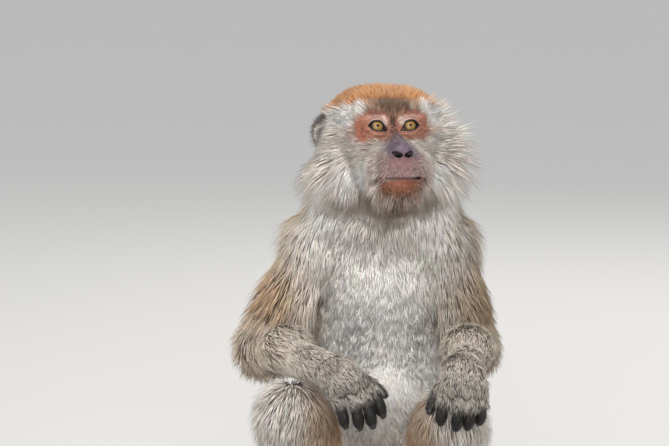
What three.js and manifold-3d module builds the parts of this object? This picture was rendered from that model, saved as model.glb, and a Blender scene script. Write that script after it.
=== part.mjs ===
// A grown long-tailed macaque that sits upright on the ground, forearms across its knees, hands hanging.
// Millimetres, +Z up. It faces -Y, its own left side is +X, and its seat touches the ground at the origin.
// Each part is a rounded solid out to the tips of its coat. The cheek whiskers and the beard stand out from
// the head as locks of their own.
import * as THREE from "three";
import { mergeVertices } from "three/addons/utils/BufferGeometryUtils.js";
import Module from "manifold-3d";

const wasm = await Module();
wasm.setup();
const v = (x, y, z) => new THREE.Vector3(x, y, z);
const { degToRad, lerp, clamp } = THREE.MathUtils;

// ---------------------------------------------------------------- driving sizes

const GAP = 0.4; // kept between two parts that touch
const HIP_HALF_WIDTH = 38;
const HEAD_AT = v(-0.2, -48.6, 374.4); // centre of the skull
const HEAD_YAW = 10.5; // degrees, towards its left
const HEAD_PITCH = 10; // degrees, chin up
const EYE_AT = v(13.5, -36.5, 7.5); // the left eye, in the head's frame
const EYE_RADIUS = 9.4;

// Joints of each limb. The right forearm lies across the knee towards the belly, the left one points ahead.
const RIGHT = {
  name: "right",
  sign: -1,
  shoulder: v(-54, -8, 282),
  elbow: v(-99, -38, 201),
  wrist: v(-40, -124, 195),
  knuckles: v(-27, -148, 187),
  hip: v(-HIP_HALF_WIDTH, 4, 60),
  knee: v(-75, -98, 154),
  ankle: v(-68, -84, 28),
  toes: v(-82, -152, 28),
};
const LEFT = {
  name: "left",
  sign: 1,
  shoulder: v(51, -4, 282),
  elbow: v(74, -38, 201),
  wrist: v(61.5, -146, 200),
  knuckles: v(62, -170, 191),
  hip: v(HIP_HALF_WIDTH, 4, 60),
  knee: v(53, -104, 149),
  ankle: v(50, -88, 28),
  toes: v(60, -158, 28),
};

// Depth of the coat over the flesh, by region. Under the locks of the cheeks it is the core's depth.
const COAT = { back: 12, belly: 7, crown: 8, limb: 8, lower: 6, hand: 2, face: 1, cheek: 9 };

// Grid steps of the rounded surfaces: wide where a part is big and plain, close where it is small.
const STEP = { trunk: 16, arm: 12.5, leg: 14.5, hand: 6.6, foot: 8.5, head: 12, face: 6.2, faceAcross: 6.75 };

// ---------------------------------------------------------------- fields: distance to a form

// A field tells how far a point lies outside a form, and is under 0 inside it.

// A limb's muscle: a rounded cone from a to b, flesh radius ra to rb under a coat.
function cone(a, b, ra, rb, coat) {
  const axis = b.clone().sub(a);
  const q = v(0, 0, 0);
  return (p) => {
    q.copy(p).sub(a);
    const t = clamp(q.dot(axis) / axis.lengthSq(), 0, 1);
    return q.addScaledVector(axis, -t).length() - lerp(ra, rb, t) - coat;
  };
}

// An egg-shaped mass with half-sizes along X, Y and Z.
function mass(centre, halfSizes, coat) {
  const r = halfSizes.clone().addScalar(coat);
  const q = v(0, 0, 0);
  return (p) => {
    q.copy(p).sub(centre).divide(r);
    const near = q.length();
    return (near * (near - 1)) / Math.max(q.divide(r).length(), 1e-9);
  };
}

// The smooth union of several fields, which melt together over about `soft` mm.
function blend(soft, fields) {
  return (p) =>
    fields.reduce((low, field) => {
      const d = field(p);
      const h = Math.max(soft - Math.abs(low - d), 0) / soft;
      return Math.min(low, d) - (h * h * soft) / 4;
    }, 1e6);
}

// A field given in one frame, read from the frame that `matrix` places it in.
function placed(matrix, field) {
  const back = matrix.clone().invert();
  const q = v(0, 0, 0);
  return (p) => field(q.copy(p).applyMatrix4(back));
}

// ---------------------------------------------------------------- surfaces and solids

// Places along one axis, `step` apart, or `fine.step` apart from fine.from to fine.to, with one before them.
function ticks(low, high, step, fine = { from: high, to: high, step }) {
  const places = [low - step, low];
  while (places.at(-1) < high) {
    const here = places.at(-1);
    places.push(here + (here >= fine.from && here < fine.to ? fine.step : step));
  }
  return places;
}

// A grid of places `step` apart that holds every given point with `margin` to spare.
function gridAround(points, margin, step) {
  const box = new THREE.Box3().setFromPoints(points).expandByScalar(margin);
  return ["x", "y", "z"].map((axis) => ticks(box.min[axis], box.max[axis], step));
}

// How fast a field grows along X, Y and Z.
function slopeOf(field, p) {
  const nudge = 0.05;
  const here = field(p);
  const grown = ["x", "y", "z"].map((axis) => {
    const beyond = p.clone();
    beyond[axis] += nudge;
    return (field(beyond) - here) / nudge;
  });
  return v(...grown);
}

// The closed surface where a field is `level`: a vertex in each cell of the grid that the surface crosses,
// pulled onto it, and a quad round each grid edge that it crosses.
function surfaceOf(field, grid, level = 0) {
  const n = grid.map((places) => places.length);
  const at = (i, j, k) => (k * n[1] + j) * n[0] + i;
  const point = (i, j, k) => v(grid[0][i], grid[1][j], grid[2][k]);
  const value = new Float64Array(n[0] * n[1] * n[2]);
  for (let k = 0; k < n[2]; k++)
    for (let j = 0; j < n[1]; j++)
      for (let i = 0; i < n[0]; i++) value[at(i, j, k)] = field(point(i, j, k)) - level;

  const corners = [0, 1, 2, 3, 4, 5, 6, 7].map((c) => [c & 1, (c >> 1) & 1, c >> 2]);
  const vertexOf = new Map();
  const vertices = [];
  for (let k = 0; k < n[2] - 1; k++)
    for (let j = 0; j < n[1] - 1; j++)
      for (let i = 0; i < n[0] - 1; i++) {
        const sum = v(0, 0, 0);
        let crossings = 0;
        corners.forEach(([a, b, c], from) => {
          for (const step of [1, 2, 4]) {
            if (from & step) continue;
            const [d, e, f] = corners[from | step];
            const v0 = value[at(i + a, j + b, k + c)];
            const v1 = value[at(i + d, j + e, k + f)];
            if (v0 < 0 === v1 < 0) continue;
            sum.add(point(i + a, j + b, k + c).lerp(point(i + d, j + e, k + f), v0 / (v0 - v1)));
            crossings++;
          }
        });
        if (!crossings) continue;
        const p = sum.divideScalar(crossings);
        const slope = slopeOf(field, p);
        const reach = (grid[0][i + 1] - grid[0][i]) / 3;
        const pull = clamp((field(p) - level) / Math.max(slope.lengthSq(), 0.2), -reach, reach);
        vertexOf.set(at(i, j, k), vertices.length / 3);
        vertices.push(...p.addScaledVector(slope, -pull).toArray());
      }

  const triangles = [];
  const corner = (c) => v(vertices[3 * c], vertices[3 * c + 1], vertices[3 * c + 2]);
  const steps = [at(1, 0, 0), at(0, 1, 0), at(0, 0, 1)];
  for (let k = 1; k < n[2] - 1; k++)
    for (let j = 1; j < n[1] - 1; j++)
      for (let i = 1; i < n[0] - 1; i++)
        steps.forEach((step, axis) => {
          const here = at(i, j, k);
          const inside = value[here] < 0;
          if (inside === value[here + step] < 0) return;
          const u = steps[(axis + 1) % 3];
          const w = steps[(axis + 2) % 3];
          const quad = [here - u - w, here - w, here, here - u].map((c) => vertexOf.get(c));
          if (!inside) quad.reverse();
          const [a, b, c, d] = quad;
          const acIsShort = corner(a).distanceTo(corner(c)) < corner(b).distanceTo(corner(d));
          if (acIsShort) triangles.push(a, b, c, a, c, d);
          else triangles.push(a, b, d, b, c, d);
        });
  return new THREE.BufferGeometry()
    .setAttribute("position", new THREE.Float32BufferAttribute(vertices, 3))
    .setIndex(triangles);
}

// Rings of vertices joined by quads, and closed at each end by a fan to a point.
function ringsToGeometry(rings, first, last) {
  const sides = rings[0].length;
  const vertices = [...rings.flat(), first, last].flatMap((p) => p.toArray());
  const firstAt = rings.length * sides;
  const lastRing = (rings.length - 1) * sides;
  const triangles = [];
  for (let s = 0; s < sides; s++) {
    const next = (s + 1) % sides;
    triangles.push(firstAt, next, s, firstAt + 1, lastRing + s, lastRing + next);
    for (let r = 0; r < rings.length - 1; r++) {
      const [a, b, c, d] = [r * sides + s, r * sides + next, (r + 1) * sides + s, (r + 1) * sides + next];
      triangles.push(a, b, d, a, d, c);
    }
  }
  return new THREE.BufferGeometry()
    .setAttribute("position", new THREE.Float32BufferAttribute(vertices, 3))
    .setIndex(triangles);
}

// A round tube along points, with a radius at each, closed at both ends; `last` is where its end comes to.
function taperedTube(points, radii, sides, last = points.at(-1)) {
  const rings = points.map((p, i) => {
    const along = (points[i + 1] ?? p).clone().sub(points[i - 1] ?? p).normalize();
    const across = Math.abs(along.z) > 0.9 ? v(1, 0, 0) : v(0, 0, 1);
    const u = along.clone().cross(across).normalize();
    const w = u.clone().cross(along);
    return Array.from({ length: sides }, (_, s) => {
      const turn = (2 * Math.PI * s) / sides;
      return p
        .clone()
        .addScaledVector(u, radii[i] * Math.cos(turn))
        .addScaledVector(w, radii[i] * Math.sin(turn));
    });
  });
  return ringsToGeometry(rings, points[0], last);
}

function solidOf(geometry) {
  const bare = geometry.clone();
  bare.deleteAttribute("normal");
  bare.deleteAttribute("uv");
  const merged = mergeVertices(bare, 1e-4);
  const triVerts = new Uint32Array(merged.index.array);
  const vertProperties = merged.attributes.position.array;
  const solid = new wasm.Manifold(new wasm.Mesh({ numProp: 3, vertProperties, triVerts }));
  if (solid.volume() > 0) return solid;
  const flipped = Array.from(triVerts).reverse();
  return solidOf(merged.setIndex(flipped));
}

// What a neighbour is cut by, to keep clear of the surface of a field.
function clearanceOf(field, grid) {
  return solidOf(surfaceOf(field, grid, 1.3 * GAP)).add(solidOf(surfaceOf(field, grid)));
}

const largest = (solid) => solid.decompose().reduce((a, b) => (b.volume() > a.volume() ? b : a));

function geometryOf(solid) {
  const { vertProperties, triVerts } = solid.getMesh();
  return new THREE.BufferGeometry()
    .setAttribute("position", new THREE.BufferAttribute(new Float32Array(vertProperties), 3))
    .setIndex(new THREE.BufferAttribute(new Uint32Array(triVerts), 1));
}

// Everything ahead of the plane through `at` that faces `towards`, moved on by half a gap.
function ahead(at, towards) {
  const size = 900;
  const box = new THREE.BoxGeometry(size, size, size);
  box.translate(0, 0, size / 2 + GAP / 2);
  box.applyQuaternion(new THREE.Quaternion().setFromUnitVectors(v(0, 0, 1), towards.clone().normalize()));
  return solidOf(box.translate(at.x, at.y, at.z));
}
const behind = (at, towards) => ahead(at, towards.clone().negate());
const aboveGround = ahead(v(0, 0, -GAP / 2), v(0, 0, 1));

// A sphere stretched to half-sizes along its own axes, then placed by a matrix.
function egg(halfSizes, matrix, across = 12, down = 8) {
  const sphere = new THREE.SphereGeometry(1, across, down);
  return solidOf(sphere.scale(halfSizes.x, halfSizes.y, halfSizes.z).applyMatrix4(matrix));
}

const matrixAt = (p) => new THREE.Matrix4().makeTranslation(p.x, p.y, p.z);
const unit = (a, b) => b.clone().sub(a).normalize();
const bisector = (a, b, c) => unit(a, b).add(unit(b, c)).normalize();
const mirrored = (make) => [-1, 1].map(make);

const parts = {};

// ---------------------------------------------------------------- torso, neck and the form of the head

const torsoFields = [
  mass(v(0, 20, 58), v(60, 54, 52), COAT.back - 2), // rump
  mass(v(0, 22, 122), v(50, 48, 62), COAT.back), // loin
  mass(v(-3, -26, 108), v(56, 50, 64), COAT.belly), // belly
  mass(v(0, 11, 182), v(60, 50, 74), COAT.back - 3), // waist
  mass(v(0, 2, 240), v(52, 51, 58), COAT.back - 2), // rib cage
  cone(v(-40, -2, 276), v(40, 2, 276), 27, 27, COAT.back), // shoulder girdle
  mass(v(0, 22, 270), v(38, 32, 44), COAT.back), // withers
  ...mirrored((s) => cone(v(26 * s, -2, 310), v(50 * s, -5, 286), 24, 24, COAT.back - 4)), // shoulders' slope
];
const neckField = blend(12, [
  cone(v(0, -4, 288), v(-2, -36, 344), 38, 35, COAT.back),
  mass(v(-1, -14, 316), v(58, 34, 38), COAT.back), // the mantle of fur at its sides
]);

const headFrame = new THREE.Matrix4()
  .makeRotationZ(degToRad(HEAD_YAW))
  .multiply(new THREE.Matrix4().makeRotationX(degToRad(-HEAD_PITCH)))
  .setPosition(HEAD_AT);
const headLocal = blend(7, [
  mass(v(0, 10, 6), v(39, 46, 34), COAT.crown), // brain case
  ...mirrored((s) => mass(v(17 * s, 2, 17), v(23, 34, 21), COAT.crown - 1)), // and its flat broad top
  cone(v(-19, -34, 17.5), v(19, -34, 17.5), 8, 8, COAT.face + 1), // brow ridge
  ...mirrored((s) => cone(v(19 * s, -34, 17.5), v(31 * s, -22, 6), 7, 6, COAT.face + 1)), // its outer ends
  mass(v(0, -20, -2), v(33, 24, 26), COAT.face + 1), // face between the cheekbones
  cone(v(0, -26, -20), v(0, -55, -26), 25, 19, COAT.face), // root of the muzzle
  cone(v(-6.5, -59.5, -27), v(6.5, -59.5, -27), 16.5, 16.5, COAT.face), // its broad front
  cone(v(0, -10, -36), v(0, -52, -42), 24, 14, COAT.lower - 2), // jaw
  cone(v(0, -42, 4), v(0, -75, -14), 5, 6.5, COAT.face - 1), // nose ridge
  ...mirrored((s) => mass(v(29 * s, 8, -16), v(20, 30, 32), COAT.cheek)), // cheeks, the core of the whiskers
  ...mirrored((s) => mass(v(EYE_AT.x * s, EYE_AT.y, EYE_AT.z), v(11.2, 11.2, 10.4), 0)), // lids
  ...mirrored((s) => cone(v(6 * s, -74, -18), v(4 * s, -75, -14), 3, 3, 0)), // wings of the nose
]);

const core = blend(18, [...torsoFields, neckField, placed(headFrame, headLocal)]);
const neckCut = [v(0, -2, 302), v(0, -0.35, 0.94)];
const headCut = [v(-1, -30, 338), v(0, -0.53, 0.85)];
const trunkGrid = [
  ticks(-108, 108, STEP.trunk),
  ticks(-150, 106, STEP.trunk),
  ticks(-20, 440, STEP.trunk),
];
const trunk = solidOf(surfaceOf(core, trunkGrid)).intersect(aboveGround);
const trunkClear = clearanceOf(core, trunkGrid);
parts.torso = largest(trunk.intersect(behind(...neckCut)));
parts.neck = largest(trunk.intersect(ahead(...neckCut)).intersect(behind(...headCut)));

// ---------------------------------------------------------------- locks of the cheeks and chin

// Numbers between 0 and 1 that repeat from run to run.
let seed = 7;
function random() {
  seed = (seed * 16807) % 2147483647;
  return seed / 2147483647;
}

// The point where a ray from inside the head meets its surface, and the way out of the surface there.
// `aside` turns the ray from the face's own direction, and `clock` turns it round that direction.
function onHead(aside, clock) {
  const from = v(0, -5, -8);
  const ray = v(Math.sin(aside) * Math.cos(clock), -Math.cos(aside), Math.sin(aside) * Math.sin(clock));
  let [near, far] = [0, 120];
  for (let i = 0; i < 24; i++) {
    const middle = (near + far) / 2;
    if (headLocal(from.clone().addScaledVector(ray, middle)) < 0) near = middle;
    else far = middle;
  }
  const at = from.addScaledVector(ray, near);
  return { at, out: slopeOf(headLocal, at).normalize() };
}

// A flat lock of hair. It leaves the surface at an angle, `lift`, from the way it lies, bends back along it
// and tapers to a point; its section is a low ridge on a flat base.
function lock({ at, out, lie, length, width, lift, sunk }) {
  const flow = lie.clone().addScaledVector(out, -lie.dot(out)).normalize();
  const side = flow.clone().cross(out).normalize();
  const along = flow.clone().multiplyScalar(Math.cos(lift)).addScaledVector(out, Math.sin(lift));
  const root = at.clone().addScaledVector(out, -sunk).addScaledVector(flow, -sunk);
  const sag = 0.22 * length;
  const line = (s) => root.clone().addScaledVector(along, length * s).addScaledVector(out, -sag * s * s);
  const rings = [
    [0, 0.8],
    [0.4, 1],
    [0.75, 0.62],
  ].map(([s, share]) => [
    line(s).addScaledVector(side, share * width * 0.5),
    line(s).addScaledVector(out, share * width * 0.26),
    line(s).addScaledVector(side, -share * width * 0.5),
  ]);
  return ringsToGeometry(rings, line(0), line(1));
}

// Cheek whiskers: rows behind the bare face, from the temple round to the throat, that lie back and outwards.
// None grows where the ear stands, and those level with it lie flatter, so that it shows from ahead.
const WHISKER = {
  rows: 3,
  columns: 8,
  length: 30,
  width: 19,
  firstRow: 56, // degrees from straight ahead
  rowStep: 22,
  top: 40, // degrees round from the animal's side, up
  columnStep: 18,
  lift: 34,
  lowLift: 12, // of those within earBand of the ear's height
  earBand: 20,
  clearOfEar: 24,
};
const EAR_AT = v(45, 20, 10); // the left ear, in the head's frame
function whiskers(s) {
  const locks = [];
  for (let row = 0; row < WHISKER.rows; row++)
    for (let column = 0; column < WHISKER.columns; column++) {
      const turn = WHISKER.top + 8 * row - WHISKER.columnStep * (column + 0.5 * (row % 2));
      const clock = degToRad(turn + 4 * (random() - 0.5));
      const aside = degToRad(WHISKER.firstRow + WHISKER.rowStep * row);
      const { at, out } = onHead(aside, s > 0 ? clock : Math.PI - clock);
      const lie = v(at.x, 34 + 14 * row, at.z * 0.8 - 6).normalize();
      const ear = v(EAR_AT.x * s, EAR_AT.y, EAR_AT.z);
      const tip = at.clone().addScaledVector(lie, WHISKER.length);
      if (Math.min(at.distanceTo(ear), tip.distanceTo(ear)) < WHISKER.clearOfEar) continue;
      const length = WHISKER.length * (0.85 + 0.3 * random());
      const width = WHISKER.width * (0.85 + 0.3 * random());
      const lift = degToRad(Math.abs(at.z - EAR_AT.z) < WHISKER.earBand ? WHISKER.lowLift : WHISKER.lift);
      locks.push(lock({ at, out, lie, length, width, lift, sunk: 4 }));
    }
  return locks;
}

// A short beard under the chin and jaw, in two rows.
function beard() {
  const locks = [];
  for (let row = 0; row < 2; row++)
    for (let column = -2; column <= 2; column++) {
      const { at, out } = onHead(degToRad(54 + 18 * row), degToRad(-90 + 19 * (column + 0.5 * row)));
      const lie = v(0.35 * at.x, 30, -40).normalize();
      locks.push(lock({ at, out, lie, length: 20 + 3 * random(), width: 14, lift: degToRad(34), sunk: 4 }));
    }
  return locks;
}

// ---------------------------------------------------------------- head, with lids, lips and nostrils

// A round bar along the lips: half a circle round the muzzle, a little higher at its corners.
function lipBar({ drop, radius, inset }) {
  const steps = 10;
  const points = Array.from({ length: steps + 1 }, (_, i) => {
    const turn = degToRad(-76 + (152 * i) / steps);
    const wide = 21 - inset;
    return v(wide * Math.sin(turn), -56 - wide * Math.cos(turn), -36 - drop + 3 * Math.sin(turn) ** 2);
  });
  const radii = points.map((_, i) => radius * (0.4 + 0.6 * Math.sin((Math.PI * i) / steps)));
  return taperedTube(points, radii, 6);
}

function makeHead() {
  const grid = [
    ticks(-87, 87, STEP.head, { from: -27, to: 27, step: STEP.faceAcross }),
    ticks(-98, 118, STEP.head, { from: -98, to: -40, step: STEP.face }),
    ticks(-152, 62, STEP.head, { from: -56, to: 26, step: STEP.face }),
  ];
  const neckLocal = placed(headFrame.clone().invert(), neckField);
  const skull = solidOf(surfaceOf(blend(16, [headLocal, neckLocal]), grid));
  const lips = [lipBar({ drop: -2.6, radius: 3, inset: 2.4 }), lipBar({ drop: 5, radius: 5.2, inset: 5 })];
  const added = [...whiskers(-1), ...whiskers(1), ...beard(), ...lips];
  const furred = wasm.Manifold.union([skull, ...added.map(solidOf)]);
  const holes = mirrored((s) => {
    const eye = matrixAt(v(EYE_AT.x * s, EYE_AT.y, EYE_AT.z));
    const opening = matrixAt(v(EYE_AT.x * s, EYE_AT.y - 10, EYE_AT.z))
      .multiply(new THREE.Matrix4().makeRotationY(degToRad(-7 * s)));
    const nostril = matrixAt(v(4.4 * s, -79.5, -17))
      .multiply(new THREE.Matrix4().makeRotationZ(degToRad(-25 * s)));
    return [
      egg(v(1, 1, 1).multiplyScalar(EYE_RADIUS + 2 * GAP), eye, 14, 10),
      egg(v(8.6, 9, 5), opening, 12, 8),
      egg(v(2.7, 5.5, 1.9), nostril, 8, 6),
    ];
  }).flat();
  const mouth = solidOf(lipBar({ drop: 0, radius: 1.3, inset: 0 }));
  const whole = wasm.Manifold.difference([furred, ...holes, mouth]).transform(headFrame.elements);
  return largest(whole.intersect(ahead(...headCut)));
}
parts.head = makeHead();
const shifts = [-GAP, GAP].flatMap((d) => [[d, 0, 0], [0, d, 0], [0, 0, d]]);
const headClear = wasm.Manifold.union([parts.head, ...shifts.map((shift) => parts.head.translate(shift))]);

// The eye is a ball behind the lids. The ear is a thin cup, open ahead and outwards.
for (const [name, s] of [["right", -1], ["left", 1]]) {
  const eyeAt = headFrame.clone().multiply(matrixAt(v(EYE_AT.x * s, EYE_AT.y, EYE_AT.z)));
  parts["eye_" + name] = egg(v(1, 1, 1).multiplyScalar(EYE_RADIUS), eyeAt, 12, 8);
  const earAt = headFrame
    .clone()
    .multiply(matrixAt(v(EAR_AT.x * s, EAR_AT.y, EAR_AT.z)))
    .multiply(new THREE.Matrix4().makeRotationZ(degToRad(38 * s)))
    .multiply(new THREE.Matrix4().makeRotationX(degToRad(-14)));
  const shell = egg(v(14, 6.5, 18), earAt, 12, 8);
  const hollow = egg(v(10.5, 6, 14), earAt.clone().multiply(matrixAt(v(2.5 * s, -4, 0.5))), 10, 8);
  const fold = egg(v(2.2, 4.5, 6), earAt.clone().multiply(matrixAt(v(-6 * s, -1.5, -4))), 6, 4);
  parts["ear_" + name] = largest(shell.subtract(hollow).add(fold).subtract(headClear));
}

// ---------------------------------------------------------------- hands, feet and digits

// A hand's or foot's own frame: X towards the thumb or big toe, Y towards the fingers, Z out of its back.
function ownFrame(from, to, thumbWay, sign) {
  const y = unit(from, to);
  const x = thumbWay.clone().addScaledVector(y, -thumbWay.dot(y)).normalize();
  const z = sign < 0 ? y.clone().cross(x) : x.clone().cross(y);
  const turn = new THREE.Matrix4().makeBasis(x, y, z);
  return { x, y, z, at: (a, b, c) => v(a, b, c).applyMatrix4(turn).add(from) };
}

// One digit: three bones, each `curl` degrees further round towards the palm than the one before it.
const BONE_SHARES = [0.46, 0.31, 0.23];
function digit(frame, { root, splay, curl, length, radius }) {
  const level = frame.y
    .clone()
    .multiplyScalar(Math.cos(degToRad(splay)))
    .addScaledVector(frame.x, Math.sin(degToRad(splay)));
  const points = [frame.at(...root)];
  const radii = [radius];
  let bent = 0;
  BONE_SHARES.forEach((share, bone) => {
    bent += degToRad(curl[bone]);
    const way = level.clone().multiplyScalar(Math.cos(bent)).addScaledVector(frame.z, -Math.sin(bent));
    points.push(points.at(-1).clone().addScaledVector(way, length * share));
    radii.push(radius * [1, 0.9, 0.62][bone]);
  });
  const last = points.at(-1).clone().addScaledVector(unit(points.at(-2), points.at(-1)), radius * 0.35);
  return solidOf(taperedTube(points, radii, 6, last));
}

// Joins digits to a hand or foot: each is cut clear of the palm or sole, and keeps above the ground.
function addDigits(name, frame, digits, clearance) {
  for (const [digitName, sizes] of Object.entries(digits))
    parts[`${digitName}_${name}`] = largest(digit(frame, sizes).subtract(clearance).intersect(aboveGround));
}

// ---------------------------------------------------------------- arms

function armField({ sign, shoulder, elbow, wrist }) {
  return blend(12, [
    cone(shoulder, elbow, 20, 16, COAT.limb),
    cone(elbow, wrist, 15.5, 12, COAT.limb - 1),
    mass(elbow.clone().lerp(wrist, 0.3).add(v(0, 0, 6)), v(17, 17, 14), COAT.limb - 1), // forearm's muscle
    mass(elbow.clone().add(v(2 * sign, 4, -7)), v(13, 14, 14), COAT.limb - 1), // point of the elbow
  ]);
}
const armGrid = ({ shoulder, elbow, wrist }) => gridAround([shoulder, elbow, wrist], 40, STEP.arm);

function makeArm(side, thumbWay, fingers) {
  const { name, sign, shoulder, elbow, wrist, knuckles } = side;
  const whole = solidOf(surfaceOf(armField(side), armGrid(side))).subtract(trunkClear);
  const elbowCut = bisector(shoulder, elbow, wrist);
  const wristCut = bisector(elbow, wrist, knuckles);
  parts["upper_arm_" + name] = largest(whole.intersect(behind(elbow, elbowCut)));
  const belowElbow = whole.intersect(ahead(elbow, elbowCut));
  parts["forearm_" + name] = largest(belowElbow.intersect(behind(wrist, wristCut)));

  const hand = ownFrame(wrist, knuckles, thumbWay, sign);
  const handField = blend(8, [
    cone(elbow.clone().lerp(wrist, 0.75), wrist, 12.9, 12, COAT.limb - 1), // forearm's end, cut off below
    cone(hand.at(7, -4, 0), hand.at(11, 27, 0), 8.5, 6, COAT.hand + 2),
    cone(hand.at(-7, -4, 0), hand.at(-11, 25, -1), 8.5, 5.6, COAT.hand + 2),
    cone(hand.at(0, -4, 1), hand.at(0, 28, 0.5), 9, 6, COAT.hand + 2),
    cone(hand.at(9, 2, -4), hand.at(14.5, 14, -5), 6.5, 5, COAT.hand), // ball of the thumb
  ]);
  const handGrid = gridAround([elbow.clone().lerp(wrist, 0.75), hand.at(0, 30, 0)], 34, STEP.hand);
  parts["hand_" + name] = largest(solidOf(surfaceOf(handField, handGrid)).intersect(ahead(wrist, wristCut)));
  addDigits(name, hand, fingers, clearanceOf(handField, handGrid));
}

makeArm(RIGHT, v(1, 0.1, 0.15), {
  index_finger: { root: [13.2, 24, 0], splay: 4, curl: [17, 28, 30], length: 34, radius: 4.3 },
  middle_finger: { root: [4.4, 25.5, 0], splay: 1, curl: [22, 32, 32], length: 38, radius: 4.3 },
  ring_finger: { root: [-4.4, 25, 0], splay: -1, curl: [25, 34, 32], length: 36, radius: 4.3 },
  little_finger: { root: [-13.2, 22, -1], splay: -5, curl: [26, 32, 30], length: 31, radius: 4.1 },
  thumb: { root: [14.5, 12, -4], splay: 24, curl: [12, 12, 10], length: 27, radius: 4.3 },
});
makeArm(LEFT, v(-1, 0, 0.1), {
  index_finger: { root: [13.2, 24, 0], splay: 16, curl: [32, 40, 36], length: 32, radius: 4.3 },
  middle_finger: { root: [4.4, 25.5, 0], splay: 1, curl: [34, 42, 40], length: 36, radius: 4.3 },
  ring_finger: { root: [-4.4, 25, 0], splay: -1, curl: [36, 42, 40], length: 35, radius: 4.3 },
  little_finger: { root: [-13.2, 22, -1], splay: -4, curl: [36, 40, 38], length: 30, radius: 4.1 },
  thumb: { root: [15, 10, -5], splay: 30, curl: [26, 14, 10], length: 27, radius: 4.3 },
});

// ---------------------------------------------------------------- legs

const armClear = (side) => clearanceOf(armField(side), armGrid(side));
const armsClear = wasm.Manifold.union([armClear(RIGHT), armClear(LEFT)]);

const TOES = {
  second_toe: { root: [12.4, 49, -23.7], splay: 4, curl: [-4, 6, 6], length: 36, radius: 4.4 },
  third_toe: { root: [3.1, 52, -23.7], splay: 1, curl: [-4, 6, 6], length: 39, radius: 4.5 },
  fourth_toe: { root: [-6.2, 52, -23.7], splay: -2, curl: [-4, 6, 6], length: 37, radius: 4.4 },
  fifth_toe: { root: [-15.2, 49, -23.7], splay: -7, curl: [-4, 6, 6], length: 31, radius: 4.2 },
  big_toe: { root: [17, 33, -22.8], splay: 36, curl: [-4, 6, 6], length: 35, radius: 5.2 },
};

function makeLeg(side) {
  const { name, sign, hip, knee, ankle, toes } = side;
  const foot = ownFrame(ankle, toes, v(-sign, 0, 0), sign);
  const legField = blend(12, [
    cone(hip, knee, 38, 24, COAT.limb), // thigh
    cone(knee, ankle, 21, 11, COAT.lower),
    mass(knee.clone().lerp(ankle, 0.36).add(v(0, 10, 0)), v(25, 24, 40), COAT.lower), // calf
    cone(ankle, foot.at(0, -6, -12), 10, 10, COAT.lower - 2),
  ]);
  const legGrid = gridAround([hip, knee, ankle], 52, STEP.leg);
  const whole = solidOf(surfaceOf(legField, legGrid));
  const leg = whole.subtract(trunkClear).subtract(armsClear).intersect(aboveGround);
  const kneeCut = bisector(hip, knee, ankle);
  const ankleCut = [ankle.clone().add(v(0, 0, 8)), v(0, 0, -1)];
  parts["thigh_" + name] = largest(leg.intersect(behind(knee, kneeCut)));
  parts["shin_" + name] = largest(leg.intersect(ahead(knee, kneeCut)).intersect(behind(...ankleCut)));

  const footField = blend(9, [
    cone(knee.clone().lerp(ankle, 0.75), ankle, 13.5, 11, COAT.lower), // the shin's end, cut off below
    cone(foot.at(0, -12, -15), foot.at(1, 20, -16), 11, 10, COAT.hand + 1), // heel and instep
    cone(foot.at(0, 10, -12), foot.at(-2, 56, -19), 11, 7.5, COAT.hand),
    cone(foot.at(12, 48, -20), foot.at(-14, 51, -20.5), 6.5, 5.8, COAT.hand), // ball of the foot
    cone(foot.at(6, 22, -18), foot.at(17, 38, -20), 7.5, 6, COAT.hand), // root of the big toe
  ]);
  const footEnds = [knee.clone().lerp(ankle, 0.75), foot.at(0, -12, -12), foot.at(0, 60, -12)];
  const footGrid = gridAround(footEnds, 30, STEP.foot);
  const footWhole = solidOf(surfaceOf(footField, footGrid));
  parts["foot_" + name] = largest(footWhole.intersect(ahead(...ankleCut)).intersect(aboveGround));
  addDigits(name, foot, TOES, clearanceOf(footField, footGrid));
}
makeLeg(RIGHT);
makeLeg(LEFT);

// ---------------------------------------------------------------- tail

// The tail drops from the rump to the ground and lies in one wide curve behind the animal.
const TAIL = { root: 12, tip: 4.5, lengths: 4, ringsEach: 6, sides: 8 };
const tailRoute = new THREE.CatmullRomCurve3([
  v(2, 62, 50),
  v(5, 92, 27),
  v(13, 122, 12),
  v(32, 164, 10.6),
  v(68, 196, 9.8),
  v(118, 206, 8.8),
  v(162, 184, 7.8),
  v(184, 140, 6.6),
  v(182, 92, 5.4),
  v(160, 52, 4.2),
]);
const tailPoints = tailRoute.getSpacedPoints(TAIL.lengths * TAIL.ringsEach);
const tailRadii = tailPoints.map((_, i) => lerp(TAIL.root, TAIL.tip, (i / (tailPoints.length - 1)) ** 1.1));
for (let i = 0; i < TAIL.lengths; i++) {
  const from = i * TAIL.ringsEach;
  const to = from + TAIL.ringsEach;
  const alongAt = (k) => unit(tailPoints[k - 1], tailPoints[k + 1]);
  const cutAt = (k, way) => ahead(tailPoints[k], alongAt(k).multiplyScalar(way));
  // One ring more at either end, so that both cuts go through the tube's full thickness.
  const first = Math.max(from - 1, 0);
  const rings = [first, Math.min(to + 2, tailPoints.length)];
  let length = solidOf(taperedTube(tailPoints.slice(...rings), tailRadii.slice(...rings), TAIL.sides));
  if (i > 0) length = length.intersect(cutAt(from, 1));
  if (i < TAIL.lengths - 1) length = length.intersect(cutAt(to, -1));
  parts[`tail_${i + 1}`] = largest(length.subtract(trunkClear).intersect(aboveGround));
}

// ---------------------------------------------------------------- colours and the finished group

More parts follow.
